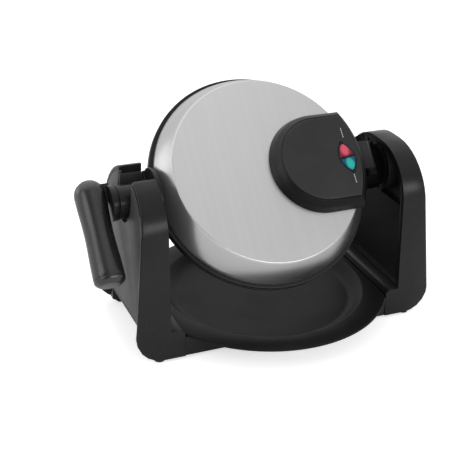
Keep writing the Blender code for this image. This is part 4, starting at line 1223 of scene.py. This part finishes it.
@dataclass
class HeadHalf:
    """One half of the head: shell, ring, cast plate, heater and thermostat."""

    half: Half
    body: str
    shoulder: Shoulder = Shoulder()
    shoulder_parts: int = 16
    shell_turn: int = 192
    crease_round: float = 0.5
    foot: float = 4.0
    skin: float = 1.0
    gap: float = 0.3
    ring: float = 109.0
    ring_in: float = 97.0
    ring_face: float = 0.6
    ring_turn: int = 160
    wall: float = 3.2
    wall_top: float = 6.4
    flange: float = 28.0
    flange_in: float = -105.4
    flange_lid: float = -109.0
    flange_lower: float = -111.0
    flange_round: float = 0.9
    cavity: float = 84.5
    cavity_taper: float = 3.5
    plate_floor: float = 12.5
    plate_thick: float = 3.0
    plate_back: float = 88.0
    plate_wall: float = 89.5
    plate_bend: float = 92.5
    plate_rim: float = 99.8
    rim_thick: float = 2.0
    plate_face: float = 0.15
    plate_turn: int = 128
    sunk: float = 0.8
    stud_root: float = 10.5
    stud_face: float = 7.8
    stud_pitch: float = 15.8
    stud_reach: float = 80.0
    stud_top: float = 3.5
    stud_round: float = 0.9
    divider_root: float = 5.0
    divider_face: float = 3.0
    divider_short: float = 1.0
    divider_round: float = 0.6
    heater: float = 60.0
    tube: float = 3.2
    tube_round: float = 0.5
    tube_start: float = 21.0
    tube_sweep: float = 318.0
    tube_parts: tuple[int, int] = (20, 72)
    thermostat: float = 12.0
    thermostat_ends: Pair = (15.8, 21.8)

    def named(self, piece: str) -> str:
        """The CAD name of one of the half's pieces."""
        return f"{self.half.name.lower()}_{piece}"

    def settle(self, solid: Solid, piece: str, finish: Finish) -> None:
        """Places a piece, mirrored for the lower half."""
        solid.mirrored(Axis.Z, self.half is Half.LOWER).place(self.named(piece), finish, HEAD, self.body)

    def build(self) -> None:
        """Builds the five pieces that both halves have."""
        self.settle(self.steel_shell(), "shell", STEEL)
        self.settle(self.bezel(), "bezel", BLACK)
        self.settle(self.plate(), "waffle_plate", COATED)
        self.settle(self.heating_tube(), "heater", SHEATH)
        disc = sleeve(0.0, self.thermostat, self.thermostat_ends)
        self.settle(Solid.spun(disc, MIDDLE_TURN, Axis.Z, {1: 0.5, 2: 0.8}), "thermostat", CERAMIC)

    def shoulder_line(self, skin: float) -> list[Pair]:
        """The shell's side from its foot to the edge of its flat.

        Args:
            skin: How far inside the outer face.

        Returns:
            (radius, height) pairs.
        """
        parts = self.shoulder_parts
        points = [(self.shoulder.shell - skin, self.foot)]
        return points + [self.shoulder.point(part / parts, skin) for part in range(parts + 1)]

    def steel_shell(self) -> Solid:
        """The spun steel shell with a tight crease round its flat top.

        Returns:
            The solid.
        """
        outer = self.shoulder_line(0.0)
        inner = self.shoulder_line(self.skin)
        top = self.shoulder.top
        profile = outer + [(0.0, top), (0.0, top - self.skin)] + inner[::-1]
        crease = len(outer) - 1
        return Solid.spun(profile, self.shell_turn, Axis.Z, {crease: self.crease_round})

    def bezel(self) -> Solid:
        """The plastic ring and its half of the flange beside the journal.

        Returns:
            The solid.
        """
        face, high = self.ring_face, self.foot - self.gap
        outside = self.shoulder.shell - self.skin - self.gap
        inside, end = outside - self.wall, self.wall_top
        profile = [(self.ring_in, face), (self.ring, face), (self.ring, high), (outside, high), (outside, end)]
        profile += [(inside, end), (inside, high), (self.ring_in, high)]
        ring = Solid.spun(profile, self.ring_turn, Axis.Z, {1: 0.6, 2: 1.2})
        start = self.flange_lid if self.half is Half.LID else self.flange_lower
        outline = [point for point in arc(self.flange, 0.0, 180.0, 40) if point[1] > face]
        outline = [(self.flange, face)] + outline + [(-self.flange, face)]
        flange = Solid.drawn(outline, Axis.X, start, self.flange_in)
        return ring.plus(flange.bevelled(self.flange_round, 3))

    def plate(self) -> Solid:
        """The cast plate with its dividers and studs.

        Returns:
            The solid.
        """
        edge, back = self.foot, self.plate_floor + self.plate_thick
        profile = [
            (0.0, back),
            (self.plate_back, back),
            (self.plate_bend, edge + self.rim_thick),
            (self.plate_rim, edge + self.rim_thick),
            (self.plate_rim, edge),
            (self.plate_wall, edge),
            (self.plate_wall, self.plate_face),
            (self.cavity, self.plate_face),
            (self.cavity - self.cavity_taper, self.plate_floor),
            (0.0, self.plate_floor),
        ]
        dish = Solid.spun(profile, self.plate_turn, Axis.Z, {1: 2.0, 6: 0.5, 7: 0.8, 8: 2.0})
        for turned in (False, True):
            dish.plus(self.divider(turned))
        for centre in self.stud_centres():
            dish.plus(self.stud(centre))
        return dish

    def divider(self, turned: bool) -> Solid:
        """One bar of the cross between the four quarters.

        Args:
            turned: Whether it runs along v instead of u.

        Returns:
            The solid.
        """
        low, high = self.plate_floor + self.sunk, self.stud_top
        root, face = self.divider_root / 2, self.divider_face / 2
        outline = [(-root, low), (root, low), (face, high), (-face, high)]
        reach = self.cavity - self.divider_short
        rounds = {2: self.divider_round, 3: self.divider_round}
        return Solid.drawn(outline, Axis.Y if turned else Axis.X, -reach, reach, rounds)

    def stud(self, centre: Pair) -> Solid:
        """One tapered stud with rounded edges.

        Args:
            centre: Its place, (u, v).

        Returns:
            The solid.
        """
        made, root = Solid(), self.plate_floor + self.sunk
        bmesh.ops.create_cube(made.bm, size=1.0)
        size = (self.stud_root, self.stud_root, root - self.stud_top)
        bmesh.ops.scale(made.bm, vec=size, verts=made.bm.verts)
        faced = [vertex for vertex in made.bm.verts if vertex.co.z < 0.0]
        share = self.stud_face / self.stud_root
        bmesh.ops.scale(made.bm, vec=(share, share, 1.0), verts=faced)
        made.moved(*centre, (root + self.stud_top) / 2)
        return made.bevelled(self.stud_round, 2, angle=20.0).tidied()

    def stud_centres(self) -> list[Pair]:
        """Where the studs stand.

        Returns:
            (u, v) pairs.
        """
        first = self.divider_root / 2 + self.stud_pitch - self.stud_root / 2
        places = [first + self.stud_pitch * step for step in range(int(self.stud_reach / self.stud_pitch))]
        found = []
        for u in places:
            for v in places:
                if math.hypot(u + self.stud_root / 2, v + self.stud_root / 2) < self.stud_reach:
                    found += [(a * u, b * v) for a in (-1, 1) for b in (-1, 1)]
        return found

    def heating_tube(self) -> Solid:
        """The bent tube behind the plate, open where its ends stand apart.

        Returns:
            The solid.
        """
        middle = self.plate_floor + self.plate_thick + self.gap + self.tube
        around, along = self.tube_parts
        made = Solid()
        bmesh.ops.create_circle(
            made.bm,
            cap_ends=True,
            segments=around,
            radius=self.tube,
            matrix=Matrix.Translation((self.heater, 0.0, middle)) @ Matrix.Rotation(math.pi / 2, 4, "X"),
        )
        turn = Matrix.Rotation(math.radians(self.tube_start), 3, "Z")
        bmesh.ops.rotate(made.bm, verts=made.bm.verts, matrix=turn)
        bmesh.ops.spin(
            made.bm,
            geom=list(made.bm.faces),
            cent=(0.0, 0.0, 0.0),
            axis=(0.0, 0.0, 1.0),
            angle=math.radians(self.tube_sweep),
            steps=along,
        )
        return made.tidied().bevelled(self.tube_round, 2, angle=60.0)


class Lens(Enum):
    """The two lights, from the front: the bright middle's colour and the deep border's."""

    GREEN = ((0.01, 0.32, 0.28), (0.0, 0.05, 0.09))
    RED = ((0.50, 0.060, 0.095), (0.12, 0.004, 0.02))


@dataclass
class DCover:
    """The D-shaped cover and its panel, on both halves, with the lights on the lid's."""

    round_radius: float = 50.0
    round_centre: Pair = (52.2, -2.0)
    edge: float = 98.9
    foot: float = 31.3
    knee: float = 40.0
    knee_in: float = 2.5
    top: float = 44.8
    top_in: float = 7.0
    seat: float = 43.7
    seat_in: float = 8.2
    seat_step: float = 0.02
    gap: float = 0.3
    panel_top: float = 46.2
    panel_bevel: float = 1.3
    lens_centre: Pair = (76.3, -4.3)
    lens_tilt: float = 8.0
    lens_long: float = 17.3
    lens_wide: float = 8.7
    lens_rim: float = 1.2
    lens_foot: float = 44.9
    lens_top: float = 47.2
    lens_round: float = 0.8
    lens_gap_share: float = 0.02
    lens_shares: tuple[Pair, ...] = ((-0.94, -0.03), (0.03, 0.92))
    frame_foot: float = 44.6
    almond_parts: int = 24
    hinge: Pair = (106.0, 28.0)
    knuckle: float = 6.5
    knuckle_half: float = 14.4
    knuckle_round: float = 0.8
    round_clear: float = 1.0
    web_start: float = 95.0
    web_clear: float = 1.2
    web_shares: tuple[float, ...] = (0.72, 0.78, 0.84, 0.89, 0.94)
    rows: tuple[Triple, ...] = ((78.3, 16.0, 25.7), (78.0, -31.2, -22.4))
    strokes: int = 5
    stroke_share: float = 0.7
    stroke_half: float = 0.42
    stroke_high: float = 0.06

    def outline(self, inset: float) -> list[Pair]:
        """The D: a half circle, straight sides and an edge that follows the shell beside the hinge.

        Args:
            inset: How far in from the foot's outline.

        Returns:
            (u, v) pairs.
        """
        radius = self.round_radius - inset
        half = math.degrees(math.asin(radius / (self.edge - inset)))
        side = arc(self.edge - inset, -half, half * 2.0, 24, (0.0, self.round_centre[1]))
        return arc(radius, 90.0, 180.0, 48, self.round_centre) + side

    def cover(self) -> Solid:
        """The cover with a rounded knee and a seat for its panel.

        Returns:
            The solid.
        """
        levels = rounded(
            [
                (0.0, self.foot),
                (self.knee_in, self.knee),
                (self.top_in, self.top),
                (self.seat_in, self.top),
                (self.seat_in + self.seat_step, self.seat),
            ],
            {1: 2.0, 2: 0.6, 3: 0.25},
        )
        return Solid.layered(self.outline, levels)

    def panel(self, hole: Sequence[Pair] = ()) -> Solid:
        """The flat panel with its low bevel.

        Args:
            hole: The outline of the hole for the lights, if there is one.

        Returns:
            The solid.
        """
        inset = self.seat_in + self.gap
        levels = [(inset, self.seat + self.gap), (inset, self.top), (inset + self.panel_bevel, self.panel_top)]
        levels.append((inset + self.panel_bevel * 2, self.panel_top))
        return Solid.layered(self.outline, rounded(levels, {1: 0.3, 2: 0.5}), hole)

    def almond(self, grow: float, low: float = -1.0, high: float = 1.0) -> list[Pair]:
        """Part of the lights' almond between two shares of its length.

        Args:
            grow: How much wider than the almond.
            low: The share where it starts, from -1 at the front.
            high: The share where it ends, up to 1 at the back.

        Returns:
            (u, v) pairs.
        """
        points, parts = [], self.almond_parts
        for side in (1, -1):
            for part in range(parts + 1):
                share = low + (high - low) * part / parts
                if side < 0:
                    share = low + high - share
                wide = (self.lens_wide + grow) * (1.0 - share * share)
                points.append((side * wide, (self.lens_long + grow * 2) * share))
        if abs(low) >= 1.0:
            points = points[: parts + 1] + points[parts + 2 : -1]
        tilt = math.radians(self.lens_tilt)
        cos, sin = math.cos(tilt), math.sin(tilt)
        u, v = self.lens_centre
        return [(u + a * cos - b * sin, v + a * sin + b * cos) for a, b in points]

    def knuckle_block(self) -> Solid:
        """The lid's knuckle and the web that joins it to the cover.

        Returns:
            The solid.
        """
        u, h = self.hinge
        outline = [(self.web_start, self.foot), (self.web_start, h + self.knuckle)]
        outline += arc(self.knuckle, 90.0, -225.0, 30, (u, h))
        for share in self.web_shares:
            radius, height = Shoulder().point(share)
            outline.append((radius + self.web_clear, height))
        block = Solid.drawn(outline, Axis.Y, -self.knuckle_half, self.knuckle_half)
        start = self.edge + self.round_clear
        return block.bevelled(self.knuckle_round, 3, where=lambda point: point.x > start, clamp=False)

    def label_rows(self) -> Solid:
        """Two short rows of plain strokes beside the lights.

        Returns:
            The strokes.
        """
        made, half = Solid(), self.stroke_half
        for middle, first, last in self.rows:
            pitch = (last - first) / (self.strokes - 0.3)
            for step in range(self.strokes):
                low = first + pitch * step
                high = low + pitch * self.stroke_share
                outline = [(middle - half, low), (middle + half, low)]
                outline += [(middle + half, high), (middle - half, high)]
                made.plus(Solid.drawn(outline, Axis.Z, self.panel_top, self.panel_top + self.stroke_high))
        return made

    def build(self) -> None:
        """Builds both covers, their panels and the lights."""
        lower = self.cover().mirrored(Axis.Z)
        lower.place("lower_cover", HOUSING, HEAD, "head")
        self.panel().mirrored(Axis.Z).place("lower_panel", CONSOLE, HEAD, "head")
        self.cover().plus(self.knuckle_block()).place("console_housing", HOUSING, HEAD, "lid")
        self.panel(self.almond(self.gap)).place("console_panel", CONSOLE, HEAD, "lid")
        windows = [self.almond(self.gap - self.lens_rim, low, high) for low, high in self.lens_shares]
        rim = Solid.drawn(self.almond(0.0), Axis.Z, self.frame_foot, self.panel_top + self.gap, holes=windows)
        rim.place("lens_frame", LENS_FRAME, HEAD, "lid")
        self.label_rows().place("label_strokes", PRINT, HEAD, "lid", extra=True)
        gap = self.lens_gap_share
        for (low, high), lens in zip(self.lens_shares, Lens):
            self.light(lens, self.almond(-self.lens_rim, low + gap, high - gap))

    def light(self, lens: Lens, outline: Sequence[Pair]) -> None:
        """One coloured light with a domed edge.

        Args:
            lens: Which of the two it is.
            outline: Its outline, (u, v).
        """
        name = f"{lens.name.lower()}_light"
        middle = [sum(point[i] for point in outline) / len(outline) for i in (0, 1)]
        finish = LensFinish(
            f"{name}_lens",
            f"{lens.name.lower()}_lens",
            lens.value[0],
            lens.value[0],
            0.16,
            coat=0.5,
            deep=lens.value[1],
            middle=(*middle, 0.0),
            tilt=self.lens_tilt,
        )
        solid = Solid.drawn(outline, Axis.Z, self.lens_foot, self.lens_top)
        solid.bevelled(self.lens_round, 4, where=lambda point: point.z > self.lens_top - 0.05, clamp=False)
        solid.place(name, finish, HEAD, "lid")


@dataclass
class Hinge:
    """The yoke between the head and the hub, with the hinge pin, the hub and its retainer."""

    yoke_round: float = 0.7
    hub: float = 20.0
    hub_start: float = 130.3
    hub_end: float = 140.0
    stub: float = 12.0
    stub_end: float = 147.2
    retainer_bore: float = 12.3
    retainer_radius: float = 18.0
    retainer_ends: Pair = (143.6, 146.0)
    pin: float = 2.5
    pin_ends: Pair = (-18.7, 20.5)
    pin_place: Triple = (106.0, 0.0, 28.0)

    def build(self) -> None:
        """Builds the four pieces."""
        yoke = Solid.of_node("hinge_yoke", HEAD).bevelled(self.yoke_round, 3)
        yoke.place("hinge_yoke", SHADED_BLACK, HEAD, "head")
        profile = sleeve(0.0, self.pin, self.pin_ends)
        pin = Solid.spun(profile, SMALL_TURN, Axis.Y, {1: 0.5, 2: 0.5}).moved(*self.pin_place)
        pin.place("hinge_pin", DARK_PIN, HEAD, "head")
        profile = [
            (0.0, self.hub_start),
            (self.hub, self.hub_start),
            (self.hub, self.hub_end),
            (self.stub, self.hub_end),
            (self.stub, self.stub_end),
            (0.0, self.stub_end),
        ]
        shaft = Solid.spun(profile, LARGE_TURN, Axis.X, {1: 0.8, 2: 0.5, 4: 0.6})
        shaft.place("hub_shaft", SHADED_BLACK, HEAD, "head")
        ring = sleeve(self.retainer_bore, self.retainer_radius, self.retainer_ends)
        retainer = Solid.spun(ring, LARGE_TURN, Axis.X, {1: 0.3, 2: 0.5})
        retainer.place("hub_retainer", BRIGHT, HEAD, "head")


@dataclass
class Handle:
    """The journal, the bracket at its end and the folding grip."""

    journal: float = 16.0
    start: float = -111.3
    end: float = -143.2
    wall: float = 3.0
    bracket_round: float = 0.8
    grip: float = 14.7
    grip_round: float = 0.4
    cap_top: float = 10.5
    cap_levels: Triple = (80.8, 83.8, 87.5)
    fold: Triple = (-165.7, 10.0, 0.0)
    pin: float = 2.5
    pin_ends: Pair = (-12.0, 9.0)

    def build(self) -> None:
        """Builds the five pieces."""
        start, end, bore = self.start, self.end, self.journal - self.wall
        floor = start - self.wall
        profile = [(0.0, start), (self.journal, start), (self.journal, end)]
        profile += [(bore, end), (bore, floor), (0.0, floor)]
        journal = Solid.spun(profile, LARGE_TURN, Axis.X, {1: 0.6, 2: 0.5})
        journal.place("journal", BLACK, HEAD, "head")
        bracket = Solid.of_node("grip_bracket", HEAD).bevelled(self.bracket_round, 3)
        bracket.place("grip_bracket", BLACK, HEAD, "head")
        grip = Solid.of_node("grip", HEAD).bevelled(self.grip_round, 2, angle=60.0)
        grip.place("grip", GRIP, HEAD, "folding_grip", smooth=40.0)
        low, middle, high = self.cap_levels
        profile = [(0.0, low), (self.grip, low), (self.grip, middle), (self.cap_top, high), (0.0, high)]
        cap = Solid.spun(profile, LARGE_TURN, Axis.Y, {1: 0.3, 2: 2.0, 3: 2.0}).mirrored(Axis.Y)
        cap.moved(*self.fold).place("grip_cap", GRIP, HEAD, "folding_grip")
        profile = sleeve(0.0, self.pin, self.pin_ends)
        pin = Solid.spun(profile, SMALL_TURN, Axis.Z, {1: 0.5, 2: 0.5}).moved(*self.fold)
        pin.place("fold_pin", BRIGHT, HEAD, "folding_grip")


# The studio


def grey(value: float) -> tuple[float, ...]:
    """An opaque grey."""
    return (value, value, value, 1.0)


def seen_straight(graph: Graph, path: bpy.types.Node) -> object:
    """Whether a ray comes from the camera, or from it through something clear."""
    return graph.maths("MAXIMUM", path.outputs["Is Camera Ray"], path.outputs["Is Transmission Ray"])


@dataclass(frozen=True)
class Softbox:
    """One rectangular studio lamp that looks at a point."""

    name: str
    place: Triple
    target: Triple
    wide: float
    high: float
    watts: float

    def build(self) -> None:
        """Makes the lamp."""
        data = bpy.data.lights.new(self.name, "AREA")
        data.shape = "RECTANGLE"
        data.size = self.wide
        data.size_y = self.high
        data.energy = self.watts
        lamp = bpy.data.objects.new(self.name, data)
        bpy.context.scene.collection.objects.link(lamp)
        lamp.location = self.place
        way = Vector(self.target) - Vector(self.place)
        lamp.rotation_euler = way.to_track_quat("-Z", "Y").to_euler()


@dataclass
class Studio:
    """Floor, world, lamps and camera."""

    camera_place: Triple = (-0.39989, -0.8856, 0.5718)
    right: Triple = (0.9235, -0.3829, 0.0248)
    up: Triple = (0.1501, 0.4201, 0.8950)
    lens: float = 86.1
    sensor: float = 36.0
    floor_half: float = 4.0
    floor_drop: float = 0.0002
    floor_colour: float = 0.86
    floor_glow: float = 0.55
    floor_mirrored: float = 0.2
    room: tuple[Pair, ...] = (
        (0.0, 0.35),
        (0.42, 0.50),
        (0.50, 0.62),
        (0.56, 0.42),
        (0.70, 0.40),
        (0.84, 0.66),
        (0.95, 0.95),
    )
    room_light: float = 0.62

    def build(self) -> None:
        """Builds everything that isn't part of the object."""
        scene = bpy.context.scene
        scene.view_settings.view_transform = "Standard"
        self.floor()
        self.world()
        for lamp in (
            Softbox("overhead", (-0.25, 0.75, 1.5), (0.0, 0.0, 0.1), 2.2, 1.8, 7.0),
            Softbox("left_box", (-1.5, -0.35, 0.85), (-0.05, 0.0, 0.12), 0.9, 1.1, 6.0),
            Softbox("rear_left_box", (-1.31, 1.09, 0.46), (-0.05, 0.0, 0.14), 0.8, 0.7, 2.1),
            Softbox("front_strip", (0.16, -0.62, 0.29), (0.05, 0.0, 0.12), 0.7, 0.16, 1.8),
        ):
            lamp.build()
        self.camera()

    def camera(self) -> None:
        """The camera at the photograph's place and angle."""
        data = bpy.data.cameras.new("viewpoint")
        data.lens = self.lens
        data.sensor_width = self.sensor
        data.sensor_fit = "HORIZONTAL"
        made = bpy.data.objects.new("viewpoint", data)
        right, up = Vector(self.right).normalized(), Vector(self.up).normalized()
        back = right.cross(up).normalized()
        up = back.cross(right)
        turn = Matrix((right, up, back)).transposed().to_4x4()
        made.matrix_world = Matrix.Translation(self.camera_place) @ turn
        bpy.context.scene.collection.objects.link(made)
        bpy.context.scene.camera = made

    def floor(self) -> None:
        """A pale floor that stays white and keeps the object's shadow."""
        bm = bmesh.new()
        bmesh.ops.create_grid(bm, x_segments=1, y_segments=1, size=self.floor_half)
        mesh = bpy.data.meshes.new("worktop")
        bm.to_mesh(mesh)
        bm.free()
        made = bpy.data.objects.new("worktop", mesh)
        bpy.context.scene.collection.objects.link(made)
        made.location.z = -self.floor_drop
        material = bpy.data.materials.new("pale_floor")
        material.use_nodes = True
        graph = Graph(material.node_tree)
        shader = material.node_tree.nodes["Principled BSDF"]
        shader.inputs["Base Color"].default_value = grey(self.floor_colour)
        shader.inputs["Roughness"].default_value = 0.85
        shader.inputs["Specular IOR Level"].default_value = 0.1
        shader.inputs["Emission Color"].default_value = grey(1.0)
        path = graph.add("LightPath")
        mirrored = graph.maths("MULTIPLY", path.outputs["Is Glossy Ray"], self.floor_mirrored)
        seen = graph.maths("MAXIMUM", seen_straight(graph, path), mirrored)
        graph.feed(shader.inputs["Emission Strength"], graph.maths("MULTIPLY", seen, self.floor_glow))
        mesh.materials.append(material)

    def world(self) -> None:
        """White where it is seen, a softer grey where it lights, and a dimmer room in front for the metal."""
        world = bpy.data.worlds.new("studio")
        bpy.context.scene.world = world
        world.use_nodes = True
        graph = Graph(world.node_tree)
        background = world.node_tree.nodes["Background"]
        path = graph.add("LightPath")
        source = graph.add("TexCoord")
        apart = graph.add("SeparateXYZ")
        graph.feed(apart.inputs[0], source.outputs["Object"])
        ramp = graph.add("ValToRGB")
        while len(ramp.color_ramp.elements) < len(self.room):
            ramp.color_ramp.elements.new(0.5)
        for element, (position, value) in zip(ramp.color_ramp.elements, self.room):
            element.position = position
            element.color = grey(value)
        graph.feed(ramp.inputs[0], graph.maths("MULTIPLY_ADD", apart.outputs[2], 0.5, 0.5))
        behind = graph.ranged(apart.outputs[1], -0.15, 0.35, 0.0, 1.0)
        window = graph.ranged(apart.outputs[0], -0.35, 0.15, 0.4, 1.0)
        window = graph.maths("MAXIMUM", window, graph.ranged(apart.outputs[2], 0.1, 0.4, 1.0, 0.0))
        front = graph.blended(window, grey(0.0), ramp.outputs[0])
        room = graph.blended(behind, front, grey(1.0))
        colour = graph.blended(path.outputs["Is Glossy Ray"], grey(self.room_light), room)
        colour = graph.blended(seen_straight(graph, path), colour, grey(1.0))
        graph.feed(background.inputs["Color"], colour)
        background.inputs["Strength"].default_value = 1.0


def main() -> None:
    """Builds the waffle maker piece by piece, and the studio round it."""
    logging.basicConfig(level=logging.INFO, format="%(message)s")
    for side in Side:
        Upright(side).build()
    Base().build()
    DripTray().build()
    HeadHalf(Half.LOWER, "head").build()
    HeadHalf(Half.LID, "lid").build()
    DCover().build()
    Hinge().build()
    Handle().build()
    Studio().build()


if __name__ == "__main__":
    main()
